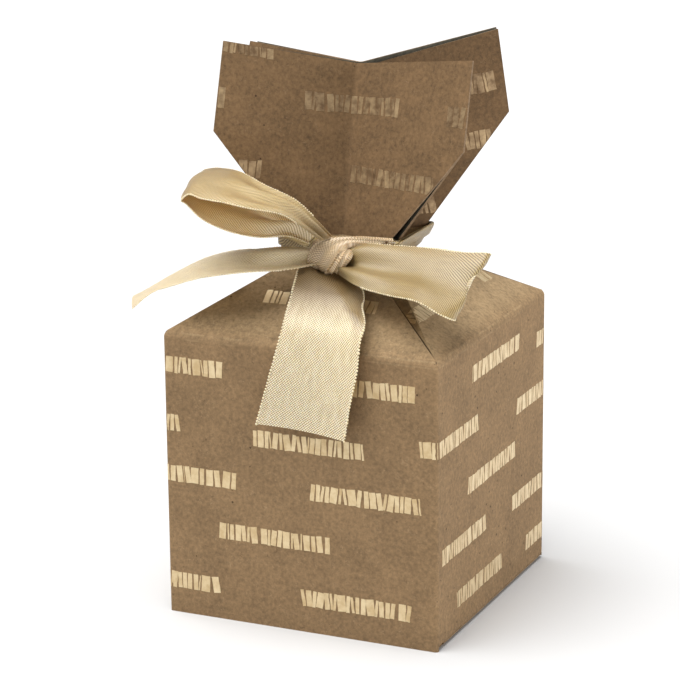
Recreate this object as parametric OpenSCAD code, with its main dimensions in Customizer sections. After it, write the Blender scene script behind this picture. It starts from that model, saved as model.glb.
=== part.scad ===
// Favor box of folded kraft card: a square body with a tuck-in bottom, four sloping
// shoulders, a neck and four creased petals, tied at the neck with a satin ribbon bow.
// Millimetres. X runs right along the front wall, Y runs back, Z up, and the origin is
// the middle of the base on the surface that the box stands on.

/* [Body] */
// Width and depth of the square body
body_w = 50; // [44:1:60]
// Height of the body up to its shoulder creases
body_h = 50; // [40:1:80]
// Thickness of the card
card_t = 0.4; // [0.3:0.05:0.5]
// Outer radius of the upright corner creases
corner_r = 0.8; // [0.6:0.1:1.5]

/* [Shoulders and neck] */
// Height that the shoulders rise above the body
shoulder_rise = 11.1; // [9:0.5:16]
// Distance across the neck, between opposite shoulders
neck_across = 14; // [12:0.5:16]
// Width of each shoulder at the neck
neck_w = 9; // [7:0.5:10]

/* [Petals] */
// Height of a petal's centre crease above the neck
petal_rise = 31.4; // [26:1:40]
// Height above the neck at which the petals bend
bend_rise = 4.3; // [3.8:0.1:5]

/* [Bottom closure] */
// Length of the tuck tongue behind the front wall
tongue_l = 12; // [8:1:16]
// Lean of the tuck tongue away from the front wall, in degrees
tongue_lean = 8; // [7:1:10]
// Length of the dust flaps
dust_l = 20; // [12:1:21]
// Width of the glue flap
glue_w = 10; // [6:1:14]

/* [Ribbon] */
// Width of the ribbon
ribbon_w = 16; // [12:1:18]
// Thickness of the ribbon's solids
ribbon_t = 0.4; // [0.3:0.05:0.5]
// Thickness of the gathered ribbon round the neck
band_t = 0.6; // [0.5:0.1:0.9]
// Width of the knot
knot_w = 7.8; // [7:0.2:9]
// Height of the knot
knot_h = 6.6; // [6:0.2:8]
// Depth of the knot
knot_d = 6; // [5:0.2:7]

/* [Hidden] */

kraft = [0.52, 0.41, 0.30];
kraft_light = [0.62, 0.52, 0.41];
satin = [0.85, 0.76, 0.60];

half_w = body_w / 2;
wall_mid = half_w - card_t / 2;       // middle of a wall's thickness
wall_in = half_w - card_t;            // inner face of a wall
wall_top = body_h - card_t / 2;
neck_z = body_h + shoulder_rise;
bend_z = neck_z + bend_rise;

crease_gap = 0.2;      // height of the open crease at a petal's bend
hinge_gap = 0.05;      // running gap round a crease bead
flap_gap = 0.15;       // gap between flaps that lie on each other
panel_gap = 0.3;       // gap between a folding panel's edge and a wall
fold_gap = 0.4;        // gap beside the tongue's crease, so that it can fold inwards
hip_gap = 0.1;         // gap between neighbouring shoulders at a body corner
overrun = 1;           // how far a cut runs past what it cuts
tie_gap = 0.3;         // gap between the ribbon and the card that moves beside it
round_fn = 24;

// Crease axes of the bottom closure, at the middle of the card's thickness
base_axis_z = card_t / 2;
dust_axis_z = card_t + flap_gap + card_t / 2;
flat_half = half_w - corner_r;        // half the flat width between two corner creases
tongue_axis_y = wall_in - hinge_gap - card_t / 2;
base_front = tongue_axis_y - card_t / 2 - fold_gap;
side_wall_z = dust_axis_z + card_t / 2 + hinge_gap;
back_wall_z = base_axis_z + card_t / 2 + hinge_gap;
dust_front = tongue_axis_y - tongue_l * sin(tongue_lean) - panel_gap;
dust_back = flat_half - hip_gap;
glue_z = side_wall_z + card_t;

// Where each petal meets the ribbon's upper edge, as shares of neck_across: [left, right] seen
// from outside, for the front, right, back and left petal
bend_shares = [
    [[-0.60, -0.70], [0.68, -0.54]],
    [[0.72, -0.46], [0.75, 0.41]],
    [[0.69, 0.49], [-0.60, 0.50]],
    [[-0.66, 0.42], [-0.66, -0.59]]
];
// Top of each centre crease: x and y as shares of body_w, z as a share of petal_rise
crease_shares = [
    [-0.032, 0.080, 0.997], [-0.018, 0.092, 1.003], [-0.032, 0.104, 0.997], [-0.046, 0.092, 1.003]
];
// Upper corners of the petals, in the same shares, [left, right] seen from outside
tip_shares = [
    [[-0.392, -0.216, 1.160], [0.430, -0.022, 1.086]],
    [[0.422, -0.006, 1.068], [0.350, 0.406, 1.140]],
    [[0.339, 0.418, 1.140], [-0.486, 0.242, 1.054]],
    [[-0.504, 0.220, 1.036], [-0.394, -0.196, 1.150]]
];
// Corners where a petal's straight side edge turns in towards the neck
side_shares = [
    [[-0.382, -0.322, 0.704], [0.440, -0.128, 0.631]],
    [[0.424, -0.092, 0.618], [0.392, 0.408, 0.685]],
    [[0.382, 0.420, 0.685], [-0.552, 0.192, 0.564]],
    [[-0.558, 0.174, 0.561], [-0.384, -0.302, 0.697]]
];
side_crease_share = 0.57;             // height of the side corners along the centre crease

// Corners of the ribbon's path round the neck, as shares of neck_across
band_shares = [[-0.65, -0.68], [0.70, -0.52], [0.735, 0.48], [-0.65, 0.515]];
band_corner_r = 0.5;
band_low = neck_z + card_t;
band_top = bend_z - crease_gap / 2 - tie_gap / 2;

// The bow hangs from the front of the neck. Each station of a ribbon is its middle, as shares of
// body_w from the bow's anchor, and the step across its width, as shares of ribbon_w.
bow_anchor = [0, -neck_across / 2, neck_z];
knot_share = 0.16;
knot_at = [0, -knot_d / 2 - neck_across * knot_share, knot_h / 3];
loop_left_shares = [
    [[0.01, -0.15, 0.10], [0.05, 0.20, 0]],
    [[-0.03, -0.20, 0.16], [0.05, 0.30, 0]],
    [[-0.08, -0.25, 0.22], [-0.05, 0.45, 0.05]],
    [[-0.17, -0.30, 0.26], [-0.15, 0.65, 0.10]],
    [[-0.26, -0.30, 0.285], [-0.20, 0.85, 0.12]],
    [[-0.34, -0.29, 0.29], [-0.25, 0.95, 0.10]],
    [[-0.39, -0.28, 0.29], [-0.25, 0.95, 0.05]],
    [[-0.42, -0.27, 0.27], [-0.20, 0.90, 0.10]],
    [[-0.40, -0.26, 0.25], [-0.15, 0.90, 0.05]],
    [[-0.33, -0.26, 0.21], [-0.10, 0.90, 0.10]],
    [[-0.25, -0.24, 0.17], [-0.10, 0.80, 0.10]],
    [[-0.17, -0.21, 0.13], [-0.10, 0.60, 0]],
    [[-0.10, -0.17, 0.11], [-0.05, 0.35, -0.10]],
    [[-0.04, -0.15, 0.09], [-0.05, 0.15, -0.05]]
];
loop_right_shares = [
    [[0.06, -0.165, 0.045], [0, 0.20, 0.18]],
    [[0.17, -0.20, 0.05], [-0.10, 0.40, 0.30]],
    [[0.28, -0.22, 0.04], [-0.10, 0.60, 0.35]],
    [[0.40, -0.24, 0.04], [-0.15, 0.75, 0.35]],
    [[0.49, -0.24, 0.02], [-0.10, 0.75, 0.45]],
    [[0.56, -0.22, 0.01], [0.10, 0.65, 0.55]],
    [[0.55, -0.19, 0], [0.10, 0.60, 0.50]],
    [[0.47, -0.16, 0], [0.05, 0.60, 0.40]],
    [[0.35, -0.13, 0.01], [0, 0.50, 0.30]],
    [[0.24, -0.12, 0.01], [0.10, 0.35, 0.30]],
    [[0.06, -0.12, 0.02], [0, 0.10, 0.15]]
];
tail_front_shares = [
    [[0.01, -0.12, 0.01], [0.20, 0.05, -0.05]],
    [[0.01, -0.17, 0.005], [0.32, 0.05, -0.06]],
    [[0.013, -0.24, 0], [0.50, 0.05, -0.08]],
    [[0.10, -0.34, -0.05], [0.80, 0.05, 0.05]],
    [[0.11, -0.40, -0.12], [0.90, 0, 0.10]],
    [[0.09, -0.41, -0.22], [0.95, -0.05, 0.10]],
    [[0.07, -0.41, -0.35], [1, -0.05, 0]],
    [[0.03, -0.40, -0.50], [1.05, -0.05, -0.05]]
];
tail_left_shares = [
    [[-0.03, -0.15, 0.05], [-0.10, 0.20, 0.15]],
    [[-0.10, -0.19, 0.05], [-0.20, 0.45, 0.15]],
    [[-0.19, -0.22, 0.04], [-0.35, 0.80, 0]],
    [[-0.29, -0.22, 0.02], [-0.40, 0.90, -0.05]],
    [[-0.41, -0.23, -0.02], [-0.40, 0.90, -0.05]],
    [[-0.53, -0.22, -0.08], [-0.40, 0.90, -0.05]],
    [[-0.68, -0.22, -0.17], [-0.40, 0.80, -0.10]]
];
ribbon_steps = 3;      // stations made between two listed ones
ribbon_cols = 4;       // strips across a ribbon's width
ribbon_crown_share = 0.05;

function unit(v) = v / max(norm(v), 1e-9);
function level(v) = unit([v.x, v.y, 0]);
function turned(p, k) =
    [p.x * cos(90 * k) - p.y * sin(90 * k), p.x * sin(90 * k) + p.y * cos(90 * k), p.z];
function between(a, b, s) = a + (b - a) * s;

// Outward normal of a grid of points at row i, column j
function grid_normal(rows, i, j) =
    let (
        last_i = len(rows) - 1,
        last_j = len(rows[0]) - 1,
        across = rows[i][min(j + 1, last_j)] - rows[i][max(j - 1, 0)],
        along = rows[min(i + 1, last_i)][j] - rows[max(i - 1, 0)][j]
    ) unit(cross(across, along));

// Offset of a point to the outer face. The first and last rows can be cut level.
function grid_offset(rows, i, j, t, level_first, level_last) =
    let (
        n = grid_normal(rows, i, j),
        cut = (level_first && i == 0) || (level_last && i == len(rows) - 1)
    ) (cut ? level(n) : n) * t / 2;

// A closed sheet of thickness t over a grid of points, rows upwards and columns to the right
module thick_grid(rows, t, level_first = false, level_last = false) {
    n_r = len(rows);
    n_c = len(rows[0]);
    n = n_r * n_c;
    offsets = [for (i = [0:n_r - 1], j = [0:n_c - 1])
        grid_offset(rows, i, j, t, level_first, level_last)];
    middles = [for (r = rows, p = r) p];
    points = concat([for (i = [0:n - 1]) middles[i] + offsets[i]],
                    [for (i = [0:n - 1]) middles[i] - offsets[i]]);
    skins = [for (i = [0:n_r - 2], j = [0:n_c - 2])
        let (a = i * n_c + j, b = a + 1, c = b + n_c, d = a + n_c)
        each [[a, d, c], [a, c, b], [n + a, n + c, n + d], [n + a, n + b, n + c]]];
    sides = [for (i = [0:n_r - 2])
        let (a = i * n_c, d = a + n_c, b = a + n_c - 1, c = b + n_c)
        each [[d, a, n + a], [d, n + a, n + d], [b, c, n + c], [b, n + c, n + b]]];
    last = (n_r - 1) * n_c;
    ends = [for (j = [0:n_c - 2])
        let (a = j, b = j + 1, d = last + j, c = d + 1)
        each [[a, b, n + b], [a, n + b, n + a], [c, d, n + d], [c, n + d, n + c]]];
    polyhedron(points, concat(skins, sides, ends));
}

// Point on a smooth curve through listed values, at step s after value i
function curve_point(list, i, s) =
    let (
        last = len(list) - 1,
        a = list[max(i - 1, 0)],
        b = list[i],
        c = list[min(i + 1, last)],
        d = list[min(i + 2, last)]
    ) 0.5 * (2 * b + (c - a) * s + (2 * a - 5 * b + 4 * c - d) * pow(s, 2)
             + (3 * b - a - 3 * c + d) * pow(s, 3));
function smoothed(list, steps) =
    [for (i = [0:len(list) - 2], k = [0:steps - 1]) curve_point(list, i, k / steps),
     list[len(list) - 1]];

// Rows of points across a ribbon, crowned a little along its middle
function ribbon_rows(shares) =
    let (
        middles = smoothed([for (s = shares) bow_anchor + s[0] * body_w], ribbon_steps),
        steps = smoothed([for (s = shares) s[1] * ribbon_w], ribbon_steps),
        last = len(middles) - 1
    ) [for (i = [0:last])
        let (
            along = middles[min(i + 1, last)] - middles[max(i - 1, 0)],
            up = unit(cross(steps[i], along))
        ) [for (j = [0:ribbon_cols])
            let (s = j / ribbon_cols - 0.5)
            middles[i] + steps[i] * s + up * norm(steps[i]) * ribbon_crown_share * (1 - pow(2 * s, 2))]];

module ribbon(shares) {
    color(satin) thick_grid(ribbon_rows(shares), ribbon_t);
}

// Quarter turn of card at an upright corner
module corner_crease(height) {
    linear_extrude(height)
        intersection() {
            difference() {
                circle(corner_r, $fn = round_fn);
                circle(corner_r - card_t, $fn = round_fn);
            }
            translate([0, -corner_r]) square(corner_r);
        }
}

// A body wall, k quarter turns from the front. Front and back walls carry the corner creases.
module wall(k, low, with_creases) {
    rotate(90 * k) {
        translate([-flat_half, -half_w, low]) cube([2 * flat_half, card_t, wall_top - low]);
        if (with_creases)
            for (side = [0, 1])
                mirror([side, 0, 0])
                    translate([flat_half, -flat_half, low]) corner_crease(wall_top - low);
    }
}

module front_wall() { color(kraft) wall(0, 0, true); }
module right_wall() { color(kraft_light) wall(1, side_wall_z, false); }
module back_wall() { color(kraft) wall(2, back_wall_z, true); }
module left_wall() { color(kraft) wall(3, side_wall_z, false); }

// Flap of the left wall, glued inside the back wall, with sloping ends
module glue_flap() {
    flap_h = wall_top - corner_r - glue_z;
    color(kraft_light)
        translate([-flat_half, wall_in, glue_z])
            rotate([90, 0, 0])
                linear_extrude(card_t)
                    polygon([
                        [0, 0], [glue_w, glue_w / 3], [glue_w, flap_h - glue_w / 3], [0, flap_h]
                    ]);
}

// Round bead of card along a crease, centred on the X axis
module crease_bead(length) {
    translate([-length / 2, 0, 0])
        rotate([0, 90, 0]) cylinder(d = card_t, h = length, $fn = round_fn);
}

// Flat panel that reaches back from the crease bead along its front edge
module creased_panel(width, length) {
    union() {
        translate([-width / 2, 0, -card_t / 2]) cube([width, length, card_t]);
        crease_bead(width);
    }
}

module base_panel() {
    color(kraft_light)
        translate([0, wall_mid, base_axis_z])
            rotate(180) creased_panel(2 * (wall_in - panel_gap), base_front + wall_mid);
}

// Tongue of the base panel, with its free corners rounded off
module tuck_tongue() {
    tongue_w = 2 * (wall_in - 2 * panel_gap);
    tip_r = tongue_l / 2;
    start = card_t / 2 + hinge_gap;
    color(kraft_light)
        translate([0, -tongue_axis_y, base_axis_z])
            rotate([-tongue_lean, 0, 0]) union() {
                crease_bead(tongue_w);
                translate([0, card_t / 2, 0])
                    rotate([90, 0, 0])
                        linear_extrude(card_t)
                            union() {
                                translate([-tongue_w / 2, 0])
                                    square([tongue_w, tongue_l - tip_r]);
                                translate([tip_r - tongue_w / 2, start])
                                    square([tongue_w - 2 * tip_r, tongue_l - start]);
                                for (side = [-1, 1])
                                    translate([side * (tongue_w / 2 - tip_r), tongue_l - tip_r])
                                        circle(tip_r, $fn = 2 * round_fn);
                            }
            }
}

// Corner cut off a flap: it starts a card's thickness along the flap's end, and takes away
// cut_w of the flap's width at its tip
module flap_corner(cut_w) {
    translate([0, 0, -card_t])
        linear_extrude(2 * card_t)
            polygon([
                [0, card_t], [-cut_w, dust_l], [-cut_w, dust_l + overrun],
                [overrun, dust_l + overrun], [overrun, card_t]
            ]);
}

// Flap that folds in over the base panel from a side wall, cut back at 45 degrees behind
module dust_flap(side) {
    flap_w = dust_front + dust_back;
    color(kraft_light)
        mirror([side < 0 ? 1 : 0, 0, 0])
            translate([wall_mid, (dust_back - dust_front) / 2, dust_axis_z])
                rotate(90)
                    difference() {
                        creased_panel(flap_w, dust_l);
                        translate([flap_w / 2, 0, 0]) flap_corner(dust_l - card_t);
                        translate([-flap_w / 2, 0, 0])
                            mirror([1, 0, 0]) flap_corner(dust_l / 4);
                    }
}
module dust_flap_left() { dust_flap(-1); }
module dust_flap_right() { dust_flap(1); }

function plan_point(s) = [s.x * body_w, s.y * body_w, neck_z + s.z * petal_rise];
function neck_middle(k) = turned([0, -neck_across / 2, neck_z], k);
function crease_top(k) = plan_point(crease_shares[k]);
function bend_corner(k, side) =
    [bend_shares[k][side].x * neck_across, bend_shares[k][side].y * neck_across, bend_z];
function bend_middle(k) = between(neck_middle(k), crease_top(k), (bend_z - neck_z)
                                  / (crease_top(k).z - neck_z));
function bend_row(k, rise) =
    [for (p = [bend_corner(k, 0), bend_middle(k), bend_corner(k, 1)]) p + [0, 0, rise]];

// Sloping trapezoid over a wall, with the short neck strip that the ribbon ties
module shoulder(k) {
    low_half = half_w - card_t - hip_gap;
    low = [for (s = [-1, 0, 1]) turned([s * low_half, -wall_mid, wall_top], k)];
    neck = [for (s = [-1, 0, 1]) turned([s * neck_w / 2, -neck_across / 2, neck_z], k)];
    thick_grid([low, neck, bend_row(k, -crease_gap / 2)], card_t, true, true);
}
module front_shoulder() { color(kraft) shoulder(0); }
module right_shoulder() { color(kraft_light) shoulder(1); }
module back_shoulder() { color(kraft) shoulder(2); }
module left_shoulder() { color(kraft) shoulder(3); }

// Petal above the ribbon, folded inwards along its centre crease
module petal(k) {
    middle = between(bend_middle(k), crease_top(k), side_crease_share);
    sides = [plan_point(side_shares[k][0]), middle, plan_point(side_shares[k][1])];
    tips = [plan_point(tip_shares[k][0]), crease_top(k), plan_point(tip_shares[k][1])];
    thick_grid([bend_row(k, crease_gap / 2), sides, tips], card_t, true, false);
}
module front_petal() { color(kraft) petal(0); }
module right_petal() { color(kraft_light) petal(1); }
module back_petal() { color(kraft) petal(2); }
module left_petal() { color(kraft) petal(3); }

// Outline of a band of radius r round listed corners, counter-clockwise
function band_outline(corners, r) =
    [for (i = [0:len(corners) - 1])
        let (
            before = corners[i] - corners[(i + len(corners) - 1) % len(corners)],
            after = corners[(i + 1) % len(corners)] - corners[i],
            a = atan2(before.y, before.x) - 90,
            turn = (atan2(after.y, after.x) - 90 - a + 720) % 360
        )
        for (s = [0:4]) corners[i] + r * [cos(a + turn * s / 4), sin(a + turn * s / 4)]];

// Ribbon gathered round the neck
module neck_band() {
    corners = [for (s = band_shares) s * neck_across];
    color(satin)
        translate([0, 0, band_low])
            linear_extrude(band_top - band_low)
                difference() {
                    polygon(band_outline(corners, band_corner_r + band_t));
                    polygon(band_outline(corners, band_corner_r));
                }
}

// Lump of the tied knot, drawn in at its lower end
module knot() {
    bead = knot_d / 2;
    color(satin)
        translate(bow_anchor + knot_at)
            hull() {
                translate([bead - knot_w / 2, 0, knot_h / 2 - bead])
                    sphere(bead, $fn = round_fn);
                translate([knot_w / 2 - bead, 0, knot_h / 2 - bead])
                    sphere(bead, $fn = round_fn);
                translate([knot_w / 12, 0, bead - knot_h / 2])
                    sphere(bead * 0.9, $fn = round_fn);
            }
}

module bow_loop_left() { ribbon(loop_left_shares); }
module bow_loop_right() { ribbon(loop_right_shares); }
module tail_front() { ribbon(tail_front_shares); }
module tail_left() { ribbon(tail_left_shares); }

front_wall();
right_wall();
back_wall();
left_wall();
glue_flap();
base_panel();
tuck_tongue();
dust_flap_left();
dust_flap_right();
front_shoulder();
right_shoulder();
back_shoulder();
left_shoulder();
front_petal();
right_petal();
back_petal();
left_petal();
neck_band();
knot();
bow_loop_left();
bow_loop_right();
tail_front();
tail_left();
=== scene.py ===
# Favor box of folded kraft card, stamped with gold foil dashes and tied at the neck with a satin bow
import math

import bpy
import numpy as np
from mathutils import Matrix, Vector


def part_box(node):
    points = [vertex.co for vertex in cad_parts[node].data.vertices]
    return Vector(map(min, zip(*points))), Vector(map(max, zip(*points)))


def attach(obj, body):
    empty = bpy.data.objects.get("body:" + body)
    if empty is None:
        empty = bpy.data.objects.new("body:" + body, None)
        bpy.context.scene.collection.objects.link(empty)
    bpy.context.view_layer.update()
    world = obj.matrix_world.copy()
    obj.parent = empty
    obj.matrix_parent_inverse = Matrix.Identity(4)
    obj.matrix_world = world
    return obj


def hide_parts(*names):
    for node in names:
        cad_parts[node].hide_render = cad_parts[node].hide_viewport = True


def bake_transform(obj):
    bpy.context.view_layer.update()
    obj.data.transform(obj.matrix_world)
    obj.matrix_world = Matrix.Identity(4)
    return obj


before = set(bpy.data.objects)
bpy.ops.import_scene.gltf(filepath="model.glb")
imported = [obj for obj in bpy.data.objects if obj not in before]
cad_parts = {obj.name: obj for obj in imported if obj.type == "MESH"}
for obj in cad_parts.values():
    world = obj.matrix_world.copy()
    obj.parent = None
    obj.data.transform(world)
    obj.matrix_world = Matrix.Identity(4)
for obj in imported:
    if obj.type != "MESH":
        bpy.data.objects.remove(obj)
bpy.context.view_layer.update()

mm = 0.001


# Node helpers

# A new node with its settings and inputs. An input may be a socket to link from.
def place(tree, kind, settings=None, inputs=None):
    made = tree.nodes.new(kind)
    for key, value in (settings or {}).items():
        setattr(made, key, value)
    for key, value in (inputs or {}).items():
        if isinstance(value, bpy.types.NodeSocket):
            tree.links.new(value, made.inputs[key])
        else:
            made.inputs[key].default_value = value
    return made


def sums(tree, operation, first, second=0.0):
    return place(tree, "ShaderNodeMath", {"operation": operation}, {0: first, 1: second}).outputs[0]


def vectorSums(tree, operation, first, second=(0, 0, 0)):
    return place(tree, "ShaderNodeVectorMath", {"operation": operation}, {0: first, 1: second}).outputs[0]


# Spread of a value from one range to 0..1
def ramped(tree, value, low, high):
    made = place(tree, "ShaderNodeMapRange", {"interpolation_type": "SMOOTHSTEP"},
                 {"Value": value, "From Min": low, "From Max": high})
    return made.outputs["Result"]


def mixColors(tree, factor, first, second, blend="MIX"):
    made = place(tree, "ShaderNodeMix", {"data_type": "RGBA", "blend_type": blend},
                 {0: factor, 6: first, 7: second})
    return made.outputs[2]


def newGroup(name, kind, inputs, outputs):
    group = bpy.data.node_groups.new(name, kind)
    for label, socketType, value in inputs:
        socket = group.interface.new_socket(label, in_out="INPUT", socket_type=socketType)
        if value is not None:
            socket.default_value = value
    for label, socketType in outputs:
        group.interface.new_socket(label, in_out="OUTPUT", socket_type=socketType)
    return group, group.nodes.new("NodeGroupInput"), group.nodes.new("NodeGroupOutput")


# Scene colour of a colour picked on screen, from 0 to 255
def onScreen(red, green, blue):
    return tuple(((c / 255 + 0.055) / 1.055) ** 2.4 for c in (red, green, blue)) + (1.0,)


# Paper: soft blotches, fine grain, loose fibres and dark specks

def makePaperGroup():
    group, given, out = newGroup("paperFibres", "ShaderNodeTree", [
        ("Vector", "NodeSocketVector", None),
        ("Color", "NodeSocketColor", (0.3, 0.2, 0.12, 1)),
        ("Fibre Color", "NodeSocketColor", (0.5, 0.4, 0.3, 1)),
        ("Speck Color", "NodeSocketColor", (0.08, 0.05, 0.03, 1)),
        ("Blotch Scale", "NodeSocketFloat", 180.0),
        ("Grain Scale", "NodeSocketFloat", 1400.0),
        ("Speck Amount", "NodeSocketFloat", 1.0),
    ], [("Color", "NodeSocketColor"), ("Roughness", "NodeSocketFloat"), ("Height", "NodeSocketFloat")])
    where = given.outputs["Vector"]
    blotch = place(group, "ShaderNodeTexNoise", None, {
        "Vector": where, "Scale": given.outputs["Blotch Scale"], "Detail": 4.0, "Roughness": 0.6}).outputs[0]
    grain = place(group, "ShaderNodeTexNoise", None, {
        "Vector": where, "Scale": given.outputs["Grain Scale"], "Detail": 5.0, "Roughness": 0.72}).outputs[0]
    # Fibres are the narrow contour lines of a warped noise
    strands = place(group, "ShaderNodeTexNoise", None, {
        "Vector": where, "Scale": 620.0, "Detail": 2.0, "Distortion": 2.2}).outputs[0]
    strand = sums(group, "ABSOLUTE", sums(group, "SUBTRACT", strands, 0.5))
    fibreMask = sums(group, "SUBTRACT", 1.0, ramped(group, strand, 0.0, 0.02))
    patches = place(group, "ShaderNodeTexNoise", None, {"Vector": where, "Scale": 900.0}).outputs[0]
    fibreMask = sums(group, "MULTIPLY", fibreMask, ramped(group, patches, 0.48, 0.62))
    cells = place(group, "ShaderNodeTexVoronoi", None, {"Vector": where, "Scale": 560.0, "Randomness": 1.0})
    cellTone = place(group, "ShaderNodeSeparateColor", None, {0: cells.outputs["Color"]}).outputs[0]
    reach = sums(group, "MULTIPLY", sums(group, "POWER", cellTone, 6.0), 0.13)
    reach = sums(group, "MULTIPLY", reach, given.outputs["Speck Amount"])
    speckMask = sums(group, "LESS_THAN", cells.outputs["Distance"], reach)

    shade = sums(group, "ADD", sums(group, "MULTIPLY", sums(group, "SUBTRACT", blotch, 0.5), 0.7),
                 sums(group, "MULTIPLY", sums(group, "SUBTRACT", grain, 0.5), 1.7))
    level = sums(group, "ADD", shade, 1.0)
    levelColor = place(group, "ShaderNodeCombineColor", None, {0: level, 1: level, 2: level}).outputs[0]
    base = mixColors(group, 1.0, given.outputs["Color"], levelColor, "MULTIPLY")
    base = mixColors(group, sums(group, "MULTIPLY", fibreMask, 0.45), base, given.outputs["Fibre Color"])
    hairs = place(group, "ShaderNodeTexNoise", None, {
        "Vector": where, "Scale": 430.0, "Detail": 1.0, "Distortion": 1.6}).outputs[0]
    hair = sums(group, "ABSOLUTE", sums(group, "SUBTRACT", hairs, 0.52))
    hairMask = sums(group, "SUBTRACT", 1.0, ramped(group, hair, 0.0, 0.014))
    sparse = place(group, "ShaderNodeTexNoise", None, {"Vector": where, "Scale": 760.0}).outputs[0]
    hairMask = sums(group, "MULTIPLY", hairMask, ramped(group, sparse, 0.58, 0.66))
    base = mixColors(group, sums(group, "MULTIPLY", hairMask, 0.55), base, given.outputs["Speck Color"])
    base = mixColors(group, sums(group, "MULTIPLY", speckMask, 0.8), base, given.outputs["Speck Color"])
    group.links.new(base, out.inputs["Color"])
    group.links.new(sums(group, "ADD", 0.72, sums(group, "MULTIPLY", grain, 0.22)), out.inputs["Roughness"])
    height = sums(group, "ADD", grain, sums(group, "MULTIPLY", fibreMask, 0.5))
    group.links.new(height, out.inputs["Height"])
    return group


# Satin: fine diagonal ribs over a crossing thread, in millimetres of the ribbon's own width and length

def makeWeaveGroup():
    group, given, out = newGroup("satinWeave", "ShaderNodeTree", [
        ("Vector", "NodeSocketVector", None),
        ("Pitch", "NodeSocketFloat", 0.4),
        ("Slope", "NodeSocketFloat", 0.9),
        ("Cross", "NodeSocketFloat", 0.35),
    ], [("Height", "NodeSocketFloat"), ("Tone", "NodeSocketFloat"), ("Roughness", "NodeSocketFloat")])
    wander = place(group, "ShaderNodeTexNoise", None, {
        "Vector": given.outputs["Vector"], "Scale": 0.55, "Detail": 3.0}).outputs[0]
    spots = place(group, "ShaderNodeSeparateXYZ", None, {0: given.outputs["Vector"]})
    across, along = spots.outputs[0], spots.outputs[1]
    turns = 2 * math.pi
    drift = sums(group, "MULTIPLY", wander, 0.5)

    def wave(slope, pitch):
        way = sums(group, "ADD", sums(group, "ADD", sums(group, "MULTIPLY", across, slope), along), drift)
        return sums(group, "SINE", sums(group, "MULTIPLY", sums(group, "DIVIDE", way, pitch), turns))

    rib = wave(given.outputs["Slope"], given.outputs["Pitch"])
    counter = sums(group, "MULTIPLY", given.outputs["Slope"], -1.0)
    crossing = wave(counter, sums(group, "MULTIPLY", given.outputs["Pitch"], 1.1))
    woven = sums(group, "ADD", rib, sums(group, "MULTIPLY", crossing, given.outputs["Cross"]))
    height = sums(group, "ADD", sums(group, "MULTIPLY", woven, 0.35), 0.5)
    group.links.new(height, out.inputs["Height"])
    streak = place(group, "ShaderNodeTexNoise", None, {
        "Vector": vectorSums(group, "MULTIPLY", given.outputs["Vector"], (1.2, 0.3, 1.0)), "Scale": 1.0,
        "Detail": 3.0}).outputs[0]
    # The ribs stand out in patches, and between them the threads run together
    patch = place(group, "ShaderNodeTexNoise", None, {
        "Vector": given.outputs["Vector"], "Scale": 0.22, "Detail": 2.0}).outputs[0]
    clear = sums(group, "ADD", 0.65, sums(group, "MULTIPLY", ramped(group, patch, 0.38, 0.62), 0.75))
    ribTone = sums(group, "MULTIPLY", sums(group, "SUBTRACT", height, 0.5), clear)
    tone = sums(group, "ADD", sums(group, "ADD", ribTone, 0.3), sums(group, "MULTIPLY", streak, 0.4))
    group.links.new(tone, out.inputs["Tone"])
    group.links.new(sums(group, "ADD", 0.28, sums(group, "MULTIPLY", streak, 0.2)), out.inputs["Roughness"])
    return group


paperGroup = makePaperGroup()
weaveGroup = makeWeaveGroup()


def newMaterial(name):
    material = bpy.data.materials.new(name)
    material.use_nodes = True
    tree = material.node_tree
    return material, tree, tree.nodes["Principled BSDF"]


# Heights between which the sloping panels are painted paler, painted light on the shoulders that face up,
# and the two broken lighter lines of their crease, a painted highlight: how high they lie, and how far from a
# line it is whole and where it ends
paintedLightHeights = {
    "low": 48.5 * mm, "high": 52.5 * mm, "lines": (50.05 * mm, 49.1 * mm), "whole": 0.06 * mm,
    "end": 0.2 * mm,
}


def makePaper(name, color, fibre, speck, specks, lift=0.0):
    material, tree, shader = newMaterial(name)
    where = place(tree, "ShaderNodeTexCoord").outputs["Object"]
    paper = place(tree, "ShaderNodeGroup", {"node_tree": paperGroup}, {
        "Vector": where, "Color": color, "Fibre Color": fibre, "Speck Color": speck,
        "Speck Amount": specks})
    rough = place(tree, "ShaderNodeBump", None, {
        "Strength": 0.35, "Distance": 0.05 * mm, "Height": paper.outputs["Height"]})
    height = place(tree, "ShaderNodeSeparateXYZ", None, {0: where}).outputs[2]
    paintedLightShare = ramped(tree, height, paintedLightHeights["low"], paintedLightHeights["high"])
    patchNoise = place(tree, "ShaderNodeTexNoise", None, {
        "Vector": where, "Scale": 260.0, "Detail": 2.0}).outputs[0]
    for line in paintedLightHeights["lines"]:
        near = sums(tree, "ABSOLUTE", sums(tree, "SUBTRACT", height, line))
        near = sums(tree, "SUBTRACT", 1.0, ramped(tree, near, paintedLightHeights["whole"], paintedLightHeights["end"]))
        near = sums(tree, "MULTIPLY", near, ramped(tree, patchNoise, 0.42, 0.60))
        paintedLightShare = sums(tree, "ADD", paintedLightShare, sums(tree, "MULTIPLY", near, 0.45))
    # Painted light: lift brightens the paper above the shoulder crease and along its two lines
    paintedLightTint = mixColors(tree, paintedLightShare, (1, 1, 1, 1), (1 + lift, 1 + 1.35 * lift, 1 + 1.6 * lift, 1))
    color = mixColors(tree, 1.0, paper.outputs["Color"], paintedLightTint, "MULTIPLY")
    tree.links.new(color, shader.inputs["Base Color"])
    tree.links.new(paper.outputs["Roughness"], shader.inputs["Roughness"])
    tree.links.new(rough.outputs[0], shader.inputs["Normal"])
    shader.inputs["Specular IOR Level"].default_value = 0.25
    return material


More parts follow.
